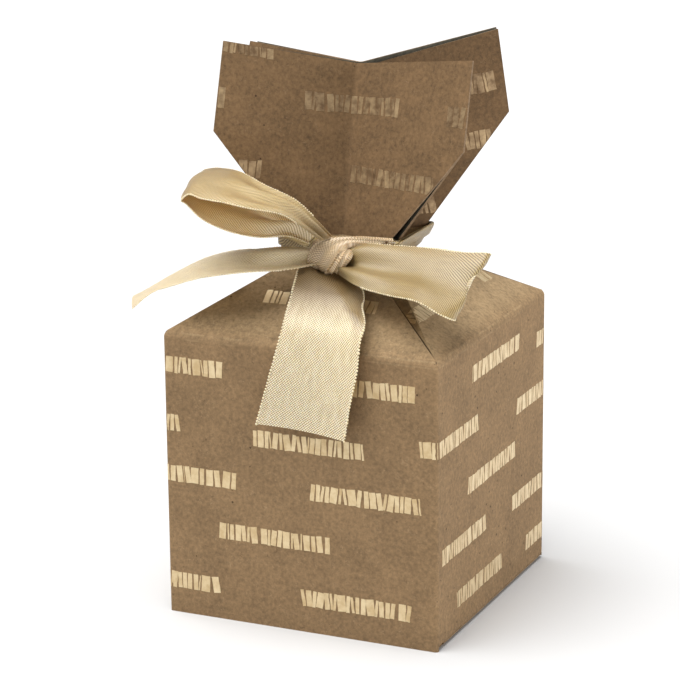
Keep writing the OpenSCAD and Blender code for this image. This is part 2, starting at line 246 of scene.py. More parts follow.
def makeSatin(name, light, dark, pitch, slope, cross, bump, paintedFacingShade=1.0):
    material, tree, shader = newMaterial(name)
    flat = place(tree, "ShaderNodeUVMap", {"uv_map": "UVMap"}).outputs[0]
    inMillimetres = vectorSums(tree, "MULTIPLY", flat, (sheetReach / mm, sheetReach / mm, 1.0))
    weave = place(tree, "ShaderNodeGroup", {"node_tree": weaveGroup}, {
        "Vector": inMillimetres, "Pitch": pitch, "Slope": slope, "Cross": cross})
    color = mixColors(tree, ramped(tree, weave.outputs["Tone"], 0.2, 0.8), dark, light)
    # Painted shade: the satin is darkened and warmed where its surface turns away from the camera
    facing = place(tree, "ShaderNodeLayerWeight", None, {"Blend": 0.5}).outputs["Facing"]
    paintedAwayShare = sums(tree, "MULTIPLY", ramped(tree, facing, 0.35, 1.0), paintedFacingShade)
    shade = mixColors(tree, paintedAwayShare, (1, 1, 1, 1), (0.66, 0.58, 0.46, 1))
    color = mixColors(tree, 1.0, color, shade, "MULTIPLY")
    # Painted shadow: under the knot and on the folded-back part the cloth is tinted darker brown
    gathered = place(tree, "ShaderNodeAttribute", {"attribute_name": "gathered"}).outputs["Fac"]
    paintedShadeTint = mixColors(tree, gathered, (1, 1, 1, 1), (0.23, 0.175, 0.085, 1))
    color = mixColors(tree, 1.0, color, paintedShadeTint, "MULTIPLY")
    ribs = place(tree, "ShaderNodeBump", None, {
        "Strength": bump, "Distance": 0.05 * mm, "Height": weave.outputs["Height"]})
    tree.links.new(color, shader.inputs["Base Color"])
    tree.links.new(weave.outputs["Roughness"], shader.inputs["Roughness"])
    tree.links.new(ribs.outputs[0], shader.inputs["Normal"])
    shader.inputs["Sheen Weight"].default_value = 0.1
    shader.inputs["Sheen Roughness"].default_value = 0.4
    shader.inputs["Sheen Tint"].default_value = (1.0, 0.95, 0.86, 1)
    shader.inputs["Specular IOR Level"].default_value = 0.7
    shader.inputs["Subsurface Weight"].default_value = 0.4
    shader.inputs["Subsurface Scale"].default_value = 0.6 * mm
    shader.inputs["Subsurface Radius"].default_value = (1.0, 0.75, 0.45)
    return material


def makeFoil(name, light, dark, metal):
    material, tree, shader = newMaterial(name)
    where = place(tree, "ShaderNodeTexCoord").outputs["Object"]
    patchNoise = place(tree, "ShaderNodeTexNoise", None, {
        "Vector": where, "Scale": 700.0, "Detail": 4.0, "Roughness": 0.6}).outputs[0]
    tone = place(tree, "ShaderNodeAttribute", {"attribute_name": "tone"}).outputs["Fac"]
    blend = sums(tree, "ADD", sums(tree, "MULTIPLY", ramped(tree, patchNoise, 0.30, 0.70), 0.6),
                 sums(tree, "MULTIPLY", tone, 0.35))
    ripple = place(tree, "ShaderNodeBump", None, {"Strength": 0.5, "Distance": 0.03 * mm, "Height": patchNoise})
    tree.links.new(mixColors(tree, blend, dark, light), shader.inputs["Base Color"])
    tree.links.new(sums(tree, "ADD", 0.28, sums(tree, "MULTIPLY", patchNoise, 0.2)), shader.inputs["Roughness"])
    tree.links.new(ripple.outputs[0], shader.inputs["Normal"])
    shader.inputs["Metallic"].default_value = metal
    return material


sheetReach = 250 * mm      # the flat blank's layout is fitted into one square of this side
# The outside kraft gets painted light on its sloping panels
kraft = makePaper("kraftOutside", onScreen(137, 111, 80), onScreen(178, 151, 116), onScreen(60, 42, 28), 1.0,
                  lift=0.34)
# Painted shade: darker copies of the outside kraft for the petals, and a darker one still for the right petal
kraftPetal = makePaper("kraftPetal", onScreen(114, 89, 61), onScreen(150, 123, 92), onScreen(52, 36, 24),
                       1.0)
kraftShaded = makePaper("kraftShaded", onScreen(105, 81, 55), onScreen(142, 116, 86),
                        onScreen(48, 34, 22), 1.0)
cardInside = makePaper("boardInside", onScreen(98, 94, 82), onScreen(124, 120, 106), onScreen(56, 52, 44),
                       0.6)
cardEdge = makePaper("cutEdge", onScreen(128, 106, 82), onScreen(150, 128, 102), onScreen(80, 60, 44), 0.4)
# Ribbed satins: light and dark thread, the ribs' pitch in millimetres, their slope, crossing and depth, and
# how much painted shade darkens the cloth where it turns away from the camera
satin = makeSatin("satinRibbon", onScreen(204, 183, 138), onScreen(144, 120, 76), 0.5, 0.9, 0.2, 0.8)
# Painted light: a lighter copy of the satin for the tails
satinTail = makeSatin("satinTail", onScreen(254, 239, 205), onScreen(170, 141, 94), 0.55, 1.15, 0.55,
                      0.8, 0.3)
# Painted light: a lighter copy of the satin for the left loop's shaded inside and the right loop's outside
satinReverse = makeSatin("satinReverse", onScreen(238, 220, 184), onScreen(190, 162, 118), 0.5, 0.9, 0.2, 0.7)
# Painted shade: a darker copy of the satin for the right loop's inside and the neck band
satinDeep = makeSatin("satinDeep", onScreen(176, 155, 107), onScreen(116, 94, 54), 0.5, 0.9, 0.2, 0.8)
satinKnot = makeSatin("satinKnot", onScreen(212, 190, 154), onScreen(158, 132, 100), 0.42, 0.8, 0.8, 0.5)
selvedgeThread = makeSatin("selvedgeThread", onScreen(232, 214, 178), onScreen(204, 180, 138), 0.2, 1.0,
                           0.2, 0.3, 0.3)
foilBright = makeFoil("foilBright", onScreen(232, 211, 170), onScreen(196, 168, 122), 0.45)
# Painted shade: the petals' foil is a darker copy of the body's
foilDull = makeFoil("foilDull", onScreen(196, 168, 128), onScreen(112, 86, 60), 0.6)
print("materials made")


# Mesh helpers

def unitised(vectors):
    return vectors / np.maximum(np.linalg.norm(vectors, axis=-1, keepdims=True), 1e-12)


# Average direction of the two steps that meet at each point of a grid
def directions(grid, axis):
    steps = unitised(np.diff(grid, axis=axis))
    first = np.take(steps, [0], axis=axis)
    last = np.take(steps, [-1], axis=axis)
    return unitised(np.concatenate([first, steps], axis=axis) + np.concatenate([steps, last], axis=axis))


def gridNormals(grid):
    return unitised(np.cross(directions(grid, 1), directions(grid, 0)))


# Distance along a line of points, from 0 at its start
def runAlong(points):
    return np.concatenate([[0], np.cumsum(np.linalg.norm(np.diff(points, axis=0), axis=1))])


# Corners of a grid's squares
def gridFaces(index):
    return np.stack([index[:-1, :-1], index[:-1, 1:], index[1:, 1:], index[1:, :-1]], -1).reshape(-1, 4)


def linked(name, data):
    made = bpy.data.objects.new(name, data)
    bpy.context.scene.collection.objects.link(made)
    return made


def lineObject(name, points, edges):
    mesh = bpy.data.meshes.new(name)
    mesh.from_pydata(points, edges, [])
    return linked(name, mesh)


def makeObject(name, points, faces, skins, slots=None, flat=None, creaseAngle=40):
    mesh = bpy.data.meshes.new(name)
    mesh.from_pydata([tuple(p) for p in points], [], faces)
    for skin in skins:
        mesh.materials.append(skin)
    if slots is not None:
        mesh.polygons.foreach_set("material_index", slots)
    if flat is not None:
        layer = mesh.uv_layers.new(name="UVMap")
        corners = np.empty(len(mesh.loops), int)
        mesh.loops.foreach_get("vertex_index", corners)
        layer.data.foreach_set("uv", (np.asarray(flat)[corners] / sheetReach).ravel())
    mesh.shade_smooth()
    mesh.set_sharp_from_angle(angle=math.radians(creaseAngle))
    mesh.validate()
    return linked(name, mesh)


# Closed sheet over a grid of middle points, rows upwards and columns to the right seen from outside
def thickSheet(name, grid, thickness, skins, flat, gathered=None):
    rows, cols = grid.shape[:2]
    normals = gridNormals(grid) * thickness / 2
    points = np.concatenate([(grid + normals).reshape(-1, 3), (grid - normals).reshape(-1, 3)])
    index = np.arange(rows * cols).reshape(rows, cols)
    under = rows * cols
    outer = gridFaces(index)
    inner = outer[:, [0, 3, 2, 1]] + under
    low, high, left, right = index[0], index[-1], index[:, 0], index[:, -1]
    rims = []
    for line, flip in ((low, False), (right, False), (high, True), (left, True)):
        start, stop = line[:-1], line[1:]
        around = [start + under, stop + under, stop, start]
        rims.append(np.stack(around[::-1] if flip else around, -1))
    rim = np.concatenate(rims)
    faces = np.concatenate([outer, inner, rim])
    slots = np.concatenate([np.zeros(len(outer)), np.ones(len(inner)), np.full(len(rim), 2)]).astype(int)
    slots = np.minimum(slots, len(skins) - 1)
    both = np.concatenate([flat.reshape(-1, 2)] * 2)
    made = makeObject(name, points, faces.tolist(), skins, slots, both)
    # Per-point share of painted shade, read by the satin
    if gathered is not None:
        layer = made.data.attributes.new("gathered", "FLOAT", "POINT")
        layer.data.foreach_set("value", np.concatenate([gathered.ravel()] * 2))
    return made


# Smooth curve through listed values
def smoothed(values, steps):
    values = np.asarray(values, float)
    last = len(values) - 1
    made = []
    for i in range(last):
        a, b, c, d = values[max(i - 1, 0)], values[i], values[i + 1], values[min(i + 2, last)]
        for k in range(steps):
            s = k / steps
            made.append(0.5 * (2 * b + (c - a) * s + (2 * a - 5 * b + 4 * c - d) * s ** 2
                               + (3 * b - a - 3 * c + d) * s ** 3))
    made.append(values[last])
    return np.array(made)


def quarterTurned(points, k):
    x, y, z = points[..., 0], points[..., 1], points[..., 2]
    c, s = ((1, 0), (0, 1), (-1, 0), (0, -1))[k]
    return np.stack([x * c - y * s, x * s + y * c, z], -1)


# Camera at the photograph's angle, fitted to the box's corners: degrees, metres, a sensor in millimetres
photoView = {
    "azimuth": 24.444, "elevation": 15.931, "roll": -0.564, "distance": 0.485001,
    "aimRight": -0.003288, "aimUp": 0.044784, "focalPixels": 2802.64, "imagePixels": 680, "sensor": 36.0,
}


def makeCamera(v):
    azimuth, elevation, roll = (math.radians(v[key]) for key in ("azimuth", "elevation", "roll"))
    back = Vector((math.sin(azimuth) * math.cos(elevation), -math.cos(azimuth) * math.cos(elevation),
                   math.sin(elevation)))
    right = Vector((math.cos(azimuth), math.sin(azimuth), 0))
    up = back.cross(right)
    spot = right * v["aimRight"] + Vector((0, 0, v["aimUp"])) + back * v["distance"]
    rolledRight = right * math.cos(roll) + up * math.sin(roll)
    rolledUp = up * math.cos(roll) - right * math.sin(roll)
    lens = bpy.data.cameras.new("photoCamera")
    lens.sensor_width = v["sensor"]
    lens.lens = v["focalPixels"] / v["imagePixels"] * v["sensor"]
    lens.clip_start = 0.01
    camera = linked("photoCamera", lens)
    turn = Matrix((rolledRight, rolledUp, back)).transposed()
    camera.matrix_world = Matrix.Translation(spot) @ turn.to_4x4()
    bpy.context.scene.camera = camera


makeCamera(photoView)
print("camera placed")


# Card blank. Plan sizes come from the frame, and the rest are the card's own.

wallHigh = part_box("front_wall")[1]
card = {
    "thickness": 0.4 * mm,
    "cornerRadius": 0.55 * mm,         # outside of an upright corner crease
    "creaseReach": 0.55 * mm,          # how far a shoulder crease is rounded, each way
    "halfWidth": wallHigh.x,
    "top": wallHigh.z,
    "neckHeight": 61.1 * mm,
    "neckAcross": 14 * mm,
    "neckWidth": 9 * mm,
    "bendHeight": 65.4 * mm,
    "petalRise": 31.4 * mm,
    "handOver": -0.14,                 # where a shoulder ends and a petal starts, behind the ribbon
    "bulge": {"front": 0.25 * mm, "right": 0.25 * mm, "back": 0.25 * mm, "left": -0.25 * mm},
    "sideShare": 0.57,                 # height of the side corners along the centre crease
    "seam": 0.05 * mm,                 # how far one panel runs in under the next
    "softAcross": 0.02,                # how far a crease is softened, as a share of half a panel
    "softAlong": 0.05,                 # the same, as a share of the height between two of its rows
    # Left corner, middle and right corner at the neck: the front panel laps over the slit on its left
    "widening": {"front": (-2.6 * mm, 0, 0), "right": (1.3 * mm, 0, 0)},
    # Out and down from the edge: the right panel's front edge is pressed in under the slit
    "lips": {"right": [(0.3 * mm, 0.5 * mm), (0.9 * mm, 1.2 * mm), (1.8 * mm, 1.9 * mm),
                       (3.0 * mm, 2.4 * mm)]},
}
card["middle"] = card["halfWidth"] - card["thickness"] / 2
card["flatHalf"] = card["halfWidth"] - card["cornerRadius"]
panelNames = ["front", "right", "back", "left"]
# Where the pieces lie on the flat blank's layout, in millimetres: a panel's middle and its lower crease
layout = {
    "firstPanel": 25, "panelStep": 50, "wallLow": 2, "shoulderLow": 60, "petalMiddle": 30, "petalLow": 2,
}
# Plan shares, close to the part's own: the bend's are of the distance across the neck, the others of the
# body's width, with heights as shares of the petals' rise. A pair is the left and right corner seen from
# outside.
petalShares = {
    "front": {"bend": [(-0.60, -0.70), (0.68, -0.54)], "crease": (-0.032, 0.080, 0.997),
              "sides": [(-0.382, -0.322, 0.704), (0.440, -0.128, 0.631)],
              "tips": [(-0.392, -0.216, 1.160), (0.430, -0.022, 1.086)]},
    "right": {"bend": [(0.77, -0.50), (0.75, 0.41)], "crease": (-0.018, 0.092, 0.977),
              "sides": [(0.424, -0.092, 0.618), (0.392, 0.408, 0.685)],
              "tips": [(0.422, -0.006, 1.068), (0.350, 0.406, 1.140)]},
    "back": {"bend": [(0.69, 0.49), (-0.645, 0.475)], "crease": (-0.032, 0.104, 0.997),
             "sides": [(0.382, 0.420, 0.685), (-0.552, 0.192, 0.564)],
             "tips": [(0.339, 0.418, 1.146), (-0.486, 0.242, 1.030)]},
    "left": {"bend": [(-0.66, 0.42), (-0.66, -0.59)], "crease": (-0.046, 0.092, 1.003),
             "sides": [(-0.558, 0.174, 0.561), (-0.384, -0.302, 0.697)],
             "tips": [(-0.504, 0.220, 1.036), (-0.394, -0.196, 1.150)]},
}


# Inward and upward steps of a shoulder crease: two soft kinks with a flatter strip between them
def creaseProfile(steps=14):
    slope = math.atan2(card["neckHeight"] - card["top"], card["middle"] - card["neckAcross"] / 2)
    turn = math.pi / 2 - slope
    spread = np.linspace(-1, 1, steps)
    weights = 0.15 + 2.2 * spread ** 2 * (1.35 - np.abs(spread))
    angles = turn * (np.cumsum(weights) - weights / 2) / weights.sum()
    inward = np.concatenate([[0], np.cumsum(np.sin(angles))])
    rise = np.concatenate([[0], np.cumsum(np.cos(angles))])
    scale = card["creaseReach"] / (inward[-1] / math.sin(turn))
    return inward * scale, rise * scale


creaseIn, creaseUp = creaseProfile()
creaseRun = np.concatenate([[0], np.cumsum(np.hypot(np.diff(creaseIn), np.diff(creaseUp)))])


# How far in, how high and how far along the card a place on the crease's profile lies
def creaseAt(step):
    lines = (creaseIn, creaseUp, creaseRun)
    return np.array([np.interp(step, range(len(creaseIn)), line) for line in lines])


# A body wall with its shoulder crease, and the corner creases on the front and back walls
def wallGrid(k, low, withCorners):
    flatHalf, middle = card["flatHalf"], card["middle"]
    bendRadius = card["cornerRadius"] - card["thickness"] / 2
    overlap = card["seam"]
    columns = [(x, -flatHalf, 0.0, 1.0, x) for x in np.linspace(-flatHalf, flatHalf, 30)]
    if withCorners:
        around = np.radians(np.linspace(0, 90, 10))[1:]
        arcs = [(flatHalf, -flatHalf, a, 1 - 0.5 * math.sin(2 * a), flatHalf + a * card["cornerRadius"])
                for a in around]
        arcs.append((flatHalf, -flatHalf + overlap, math.pi / 2, 1.0, arcs[-1][4] + overlap))
        mirrored = [(-x, y, -a, share, -u) for x, y, a, share, u in arcs[::-1]]
        columns = mirrored + columns + arcs
    reach = card["creaseReach"]
    heights = np.linspace(low, card["top"] - reach, 12)
    grid, flat = [], []
    for step in list(heights) + list(range(1, len(creaseIn))) + [len(creaseIn)]:
        row, flatRow = [], []
        for x, y, a, share, u in columns:
            if isinstance(step, int):
                at = min(step, len(creaseIn) - 1) * share
                inward, rise, run = creaseAt(at)
                if step == len(creaseIn):
                    steepness = (creaseAt(at) - creaseAt(at - 0.5))[:2]
                    steepness *= overlap / np.linalg.norm(steepness)
                    inward, rise, run = inward + steepness[0], rise + steepness[1], run + overlap
                z = card["top"] - reach + rise
                v = card["top"] - reach + run
            else:
                inward, z, v = 0.0, step, step
            out = bendRadius - inward
            row.append((x + math.sin(a) * out, y - math.cos(a) * out, z))
            flatRow.append((u, v))
        grid.append(row)
        flat.append(flatRow)
    return quarterTurned(np.array(grid), k), np.array(flat)


def planPoint(share):
    width = 2 * card["halfWidth"]
    return np.array([share[0] * width, share[1] * width, card["neckHeight"] + share[2] * card["petalRise"]])


# The five rows that a shoulder and its petal hang from: crease line, neck, bend, side corners, tips
def panelRows(k):
    shares = petalShares[panelNames[k]]
    across, neckHalf = card["neckAcross"], card["neckWidth"] / 2
    reach = (card["creaseReach"] + card["seam"]) / math.hypot(
        card["neckHeight"] - card["top"], card["middle"] - across / 2)
    lowHalf = (card["flatHalf"] - card["seam"] - neckHalf * reach) / (1 - reach)
    low = quarterTurned(np.array([(s * lowHalf, -card["middle"], card["top"]) for s in (-1, 0, 1)]), k)
    widening = card["widening"].get(panelNames[k], (0, 0, 0))
    neck = quarterTurned(np.array([(s * neckHalf + w, -across / 2, card["neckHeight"])
                                   for s, w in zip((-1, 0, 1), widening)]), k)
    top = planPoint(shares["crease"])
    share = (card["bendHeight"] - card["neckHeight"]) / (top[2] - card["neckHeight"])
    bendMiddle = neck[1] + (top - neck[1]) * share
    left, right = (np.array([x * across, y * across, card["bendHeight"]]) for x, y in shares["bend"])
    sideMiddle = bendMiddle + (top - bendMiddle) * card["sideShare"]
    sides, tips = ([planPoint(p) for p in shares[key]] for key in ("sides", "tips"))
    return np.array([low, neck, [left, bendMiddle, right], [sides[0], sideMiddle, sides[1]],
                     [tips[0], top, tips[1]]]), reach


# Point of a panel at s from -1 to 1 across, and t: -2 crease line, -1 neck, 0 bend, 1 side corners, 2 tips
def panelPoint(rows, s, t):
    i = int(min(max(math.floor(t) + 2, 0), 3))
    f = t + 2 - i
    row = rows[i] * (1 - f) + rows[i + 1] * f
    return row[1] + (row[2] - row[1]) * s if s > 0 else row[1] + (row[1] - row[0]) * s


# Averaging over a small square rounds the creases and leaves the flat parts as they are. Well above the
# bend it averages only across, so that the outline's corners stay sharp.
def softPoint(rows, s, t):
    reachS = card["softAcross"]
    reachT = card["softAlong"] if t < 0.5 else 0.0
    around = [(ds, dt) for ds in (-reachS, 0, reachS) for dt in (-reachT, 0, reachT)]
    return sum(panelPoint(rows, s + ds, t + dt) for ds, dt in around) / len(around)


def panelGrid(rows, across, along, originT, bulge=0.0, lip=None):
    grid = np.array([[softPoint(rows, s, t) for s in across] for t in along])
    if bulge:
        swell = np.array([[bulge * max(math.sin(math.pi * (t + 2)), 0) * (1 - s * s) if t < -1 else 0
                           for s in across] for t in along])
        grid = grid + gridNormals(grid) * swell[..., None]
    if lip:
        edge = grid[:, 0]
        aside = unitised(grid[:, 0] - grid[:, 1])
        inward = -gridNormals(grid)[:, 0]
        share = np.clip((np.asarray(along) + 2) * 1.15 - 0.12, 0, 1)[:, None]
        folded = [edge + (aside * out + inward * down) * share for out, down in lip[::-1]]
        grid = np.concatenate([np.stack(folded, 1), grid], axis=1)
        across = np.concatenate([across[0] - np.linspace(0.05, 0.01, len(lip)), across])
    centre = np.argmin(np.abs(across))
    u = np.linalg.norm(grid - grid[:, [centre]], axis=-1) * np.sign(across)[None, :]
    v = runAlong(grid[:, centre])
    v = v - np.interp(originT, along, v)
    return grid, np.stack([u, np.repeat(v[:, None], len(across), 1)], -1)


wide = np.linspace(0.08, 1, 13)
spread = np.concatenate([-wide[::-1], [-0.05, -0.03, -0.015, 0, 0.015, 0.03, 0.05], wide])
cardSkins = [kraft, cardInside, cardEdge]
carriers = {"box": []}
for k, side in enumerate(panelNames):
    panelMiddle = (layout["firstPanel"] + layout["panelStep"] * k) * mm
    node = side + "_wall"
    grid, flat = wallGrid(k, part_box(node)[0].z, side in ("front", "back"))
    wall = thickSheet(node + "_card", grid, card["thickness"], cardSkins, flat)
    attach(wall, "box")
    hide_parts(node)
    carriers["box"].append((grid, flat + np.array([panelMiddle, layout["wallLow"] * mm])))

    rows, reach = panelRows(k)
    along = np.concatenate([np.linspace(-2 + reach, -1.12, 16), [-1.06, -1.03, -1, -0.97, -0.94],
                            np.linspace(-0.8, card["handOver"], 6)])
    grid, flat = panelGrid(rows, spread, along, -2 + reach, card["bulge"][side], card["lips"].get(side))
    shoulder = thickSheet(side + "_shoulder_card", grid, card["thickness"], cardSkins, flat)
    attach(shoulder, "box")
    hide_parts(side + "_shoulder")
    carriers["box"].append((grid, flat + np.array([panelMiddle, layout["shoulderLow"] * mm])))

    along = np.concatenate([[card["handOver"], -0.1], np.linspace(-0.07, 0.07, 9), [0.1],
                            np.linspace(0.15, 1, 14), np.linspace(1, 2, 14)[1:]])
    grid, flat = panelGrid(rows, spread, along, 0.0)
    # Painted shade: the petals' outsides get the darker kraft copies
    outside = kraftShaded if side == "right" else kraftPetal
    petal = thickSheet(side + "_petal_card", grid, card["thickness"], [outside, cardInside, cardEdge], flat)
    body = "petal_" + side
    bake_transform(petal)
    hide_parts(side + "_petal")
    carriers[body] = [(grid, flat + np.array([layout["petalMiddle"] * mm, layout["petalLow"] * mm]))]

# The solids that stay in view, and the side of each that faces into the box
insideWays = {
    "glue_flap": (0, -1, 0), "base_panel": (0, 0, 1), "tuck_tongue": (0, 1, 0), "dust_flap_left": (0, 0, 1),
    "dust_flap_right": (0, 0, 1),
}
for node, way in insideWays.items():
    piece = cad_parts[node]
    piece.data.materials.clear()
    for skin in (kraft, cardInside):
        piece.data.materials.append(skin)
    for face in piece.data.polygons:
        face.material_index = int(face.normal.dot(way) > 0.7)
print("card folded")


# Foil dashes. Each is a bar on the flat blank, which the tree cuts into ragged blocks and lays on the card.

foil = {
    "pitch": 0.98 * mm, "height": 2.9 * mm, "thickness": 0.03 * mm, "lift": 0.012 * mm,
    "inset": 0.24 * mm, "slit": 0.2 * mm, "spread": 0.46, "slant": 9.0, "ragged": 0.14 * mm, "seed": 11,
}


def makeFoilTree():
    tree, given, out = newGroup("foilDashes", "GeometryNodeTree", [
        ("Geometry", "NodeSocketGeometry", None),
        ("Card", "NodeSocketObject", None),
        ("Blank", "NodeSocketObject", None),
        ("Pitch", "NodeSocketFloat", 0.00128),
        ("Height", "NodeSocketFloat", 0.0029),
        ("Thickness", "NodeSocketFloat", 0.00003),
        ("Lift", "NodeSocketFloat", 0.00001),
        ("Slit", "NodeSocketFloat", 0.0002),
        ("Spread", "NodeSocketFloat", 0.36),
        ("Slant", "NodeSocketFloat", 0.15),
        ("Raggedness", "NodeSocketFloat", 0.0001),
        ("Layout", "NodeSocketFloat", 0.25),
        ("Seed", "NodeSocketInt", 11),
        ("Material", "NodeSocketMaterial", None),
    ], [("Geometry", "NodeSocketGeometry")])
    g = given.outputs

    def chance(kind, low, high, offset):
        made = place(tree, "FunctionNodeRandomValue", {"data_type": kind})
        first, second, where = (2, 3, 1) if kind == "FLOAT" else (0, 1, 0)
        for slot, value in ((first, low), (second, high)):
            if isinstance(value, bpy.types.NodeSocket):
                tree.links.new(value, made.inputs[slot])
            else:
                made.inputs[slot].default_value = value
        tree.links.new(sums(tree, "ADD", g["Seed"], offset), made.inputs["Seed"])
        return made.outputs[where]

    lines = place(tree, "GeometryNodeMeshToCurve", None, {0: g["Geometry"]})
    spots = place(tree, "GeometryNodeCurveToPoints", {"mode": "LENGTH"}, {
        "Curve": lines.outputs[0], "Length": g["Pitch"]})
    where = place(tree, "GeometryNodeInputPosition").outputs[0]
    # A block fills the space between its own cut and the next one, less a slit
    counterSpread = sums(tree, "MULTIPLY", g["Spread"], -1.0)
    nudge = sums(tree, "MULTIPLY", g["Pitch"], chance("FLOAT", counterSpread, g["Spread"], 1))
    cut = sums(tree, "ADD", place(tree, "ShaderNodeSeparateXYZ", None, {0: where}).outputs[0], nudge)
    after = sums(tree, "ADD", place(tree, "GeometryNodeInputIndex").outputs[0], 1.0)
    nextCut = place(tree, "GeometryNodeFieldAtIndex", {"data_type": "FLOAT"}, {"Index": after, "Value": cut})
    slit = sums(tree, "MULTIPLY", g["Slit"], chance("FLOAT", 0.6, 1.7, 3))
    span = sums(tree, "SUBTRACT", sums(tree, "SUBTRACT", nextCut.outputs[0], cut), slit)
    kept = place(tree, "GeometryNodeStoreNamedAttribute", {"data_type": "FLOAT", "domain": "POINT"}, {
        "Geometry": spots.outputs[0], "Name": "span", "Value": span})
    kept = place(tree, "GeometryNodeStoreNamedAttribute", {"data_type": "FLOAT", "domain": "POINT"}, {
        "Geometry": kept.outputs[0], "Name": "shift",
        "Value": sums(tree, "ADD", nudge, sums(tree, "MULTIPLY", span, 0.5))})
    span, shift = (place(tree, "GeometryNodeInputNamedAttribute", {"data_type": "FLOAT"}, {
        "Name": label}).outputs[0] for label in ("span", "shift"))
    tooNarrow = sums(tree, "LESS_THAN", span, sums(tree, "MULTIPLY", g["Slit"], 0.6))
    tooWide = sums(tree, "GREATER_THAN", span, sums(tree, "MULTIPLY", g["Pitch"], 2.0))
    kept = place(tree, "GeometryNodeDeleteGeometry", {"domain": "POINT"}, {
        "Geometry": kept.outputs[0], "Selection": sums(tree, "ADD", tooNarrow, tooWide)})
    nudged = place(tree, "GeometryNodeSetPosition", None, {
        "Geometry": kept.outputs[0], "Offset": place(tree, "ShaderNodeCombineXYZ", None, {
            0: shift, 1: sums(tree, "MULTIPLY", g["Pitch"], chance("FLOAT", -0.05, 0.05, 2))}).outputs[0]})
    block = place(tree, "GeometryNodeMeshCube", None, {"Size": (1, 1, 1), "Vertices X": 3, "Vertices Y": 5,
                                                       "Vertices Z": 2})
    tall = sums(tree, "MULTIPLY", g["Height"], chance("FLOAT", 0.94, 1.03, 4))
    size = place(tree, "ShaderNodeCombineXYZ", None, {0: span, 1: tall, 2: g["Thickness"]})
    counterSlant = sums(tree, "MULTIPLY", g["Slant"], -1.0)
    turn = place(tree, "ShaderNodeCombineXYZ", None, {2: chance("FLOAT", counterSlant, g["Slant"], 5)})
    turn = place(tree, "FunctionNodeEulerToRotation", None, {0: turn.outputs[0]})
    toned = place(tree, "GeometryNodeStoreNamedAttribute", {"data_type": "FLOAT", "domain": "POINT"}, {
        "Geometry": nudged.outputs[0], "Name": "tone", "Value": chance("FLOAT", 0.0, 1.0, 6)})
    blocks = place(tree, "GeometryNodeInstanceOnPoints", None, {
        "Points": toned.outputs[0], "Instance": block.outputs["Mesh"], "Rotation": turn.outputs[0],
        "Scale": size.outputs[0]})
    loose = place(tree, "GeometryNodeRealizeInstances", None, {0: blocks.outputs[0]})
    rough = place(tree, "ShaderNodeTexNoise", None, {"Vector": where, "Scale": 1100.0, "Detail": 1.0})
    wobble = vectorSums(tree, "SUBTRACT", rough.outputs["Color"], (0.5, 0.5, 0.5))
    wobble = place(tree, "ShaderNodeVectorMath", {"operation": "SCALE"}, {
        0: vectorSums(tree, "MULTIPLY", wobble, (2, 1, 0)), "Scale": g["Raggedness"]}).outputs[0]
    ragged = place(tree, "GeometryNodeSetPosition", None, {"Geometry": loose.outputs[0], "Offset": wobble})

    cardMesh = place(tree, "GeometryNodeObjectInfo", None, {"Object": g["Card"]}).outputs["Geometry"]
    layout = place(tree, "GeometryNodeInputNamedAttribute", {"data_type": "FLOAT_VECTOR"}, {
        "Name": "UVMap"}).outputs["Attribute"]
    # What would hang over the blank's edge is pressed back onto it
    blank = place(tree, "GeometryNodeObjectInfo", None, {"Object": g["Blank"]}).outputs["Geometry"]
    level = vectorSums(tree, "MULTIPLY", where, (1, 1, 0))
    near = place(tree, "GeometryNodeProximity", {"target_element": "FACES"}, {
        "Geometry": blank, "Sample Position": level})
    beyond = place(tree, "ShaderNodeVectorMath", {"operation": "SCALE"}, {
        0: vectorSums(tree, "SUBTRACT", level, near.outputs["Position"]), "Scale": 0.03}).outputs[0]
    clipped = vectorSums(tree, "ADD", near.outputs["Position"], beyond)
    flatSpot = vectorSums(tree, "DIVIDE", clipped, place(tree, "ShaderNodeCombineXYZ", None, {
        0: g["Layout"], 1: g["Layout"], 2: g["Layout"]}).outputs[0])
    outward = place(tree, "GeometryNodeInputNormal").outputs[0]
    onCard = place(tree, "GeometryNodeSampleUVSurface", {"data_type": "FLOAT_VECTOR"}, {
        "Mesh": cardMesh, "Value": where, "Source UV Map": layout, "Sample UV": flatSpot})
    facing = place(tree, "GeometryNodeSampleUVSurface", {"data_type": "FLOAT_VECTOR"}, {
        "Mesh": cardMesh, "Value": outward, "Source UV Map": layout, "Sample UV": flatSpot})
    above = sums(tree, "ADD", place(tree, "ShaderNodeSeparateXYZ", None, {0: where}).outputs[2], g["Lift"])
    rise = place(tree, "ShaderNodeVectorMath", {"operation": "SCALE"}, {
        0: facing.outputs["Value"], "Scale": above}).outputs[0]
    # A block with most of its points beyond the edge is left out whole
    island = place(tree, "GeometryNodeInputMeshIsland").outputs["Island Index"]
    outside = sums(tree, "MULTIPLY", sums(tree, "GREATER_THAN", near.outputs["Distance"], 0.02 * mm), 0.04)
    lost = sums(tree, "SUBTRACT", 1.0, onCard.outputs["Is Valid"])
    missed = place(tree, "GeometryNodeAccumulateField", {"data_type": "FLOAT", "domain": "POINT"}, {
        "Value": sums(tree, "MAXIMUM", outside, lost), "Group ID": island})
    astray = sums(tree, "GREATER_THAN", missed.outputs["Total"], 0.9)
    kept = place(tree, "GeometryNodeDeleteGeometry", {"domain": "POINT"}, {
        "Geometry": ragged.outputs[0], "Selection": astray})
    laid = place(tree, "GeometryNodeSetPosition", None, {
        "Geometry": kept.outputs[0], "Position": vectorSums(tree, "ADD", onCard.outputs["Value"], rise)})
    painted = place(tree, "GeometryNodeSetMaterial", None, {
        "Geometry": laid.outputs[0], "Material": g["Material"]})
    tree.links.new(painted.outputs[0], out.inputs[0])
    return tree


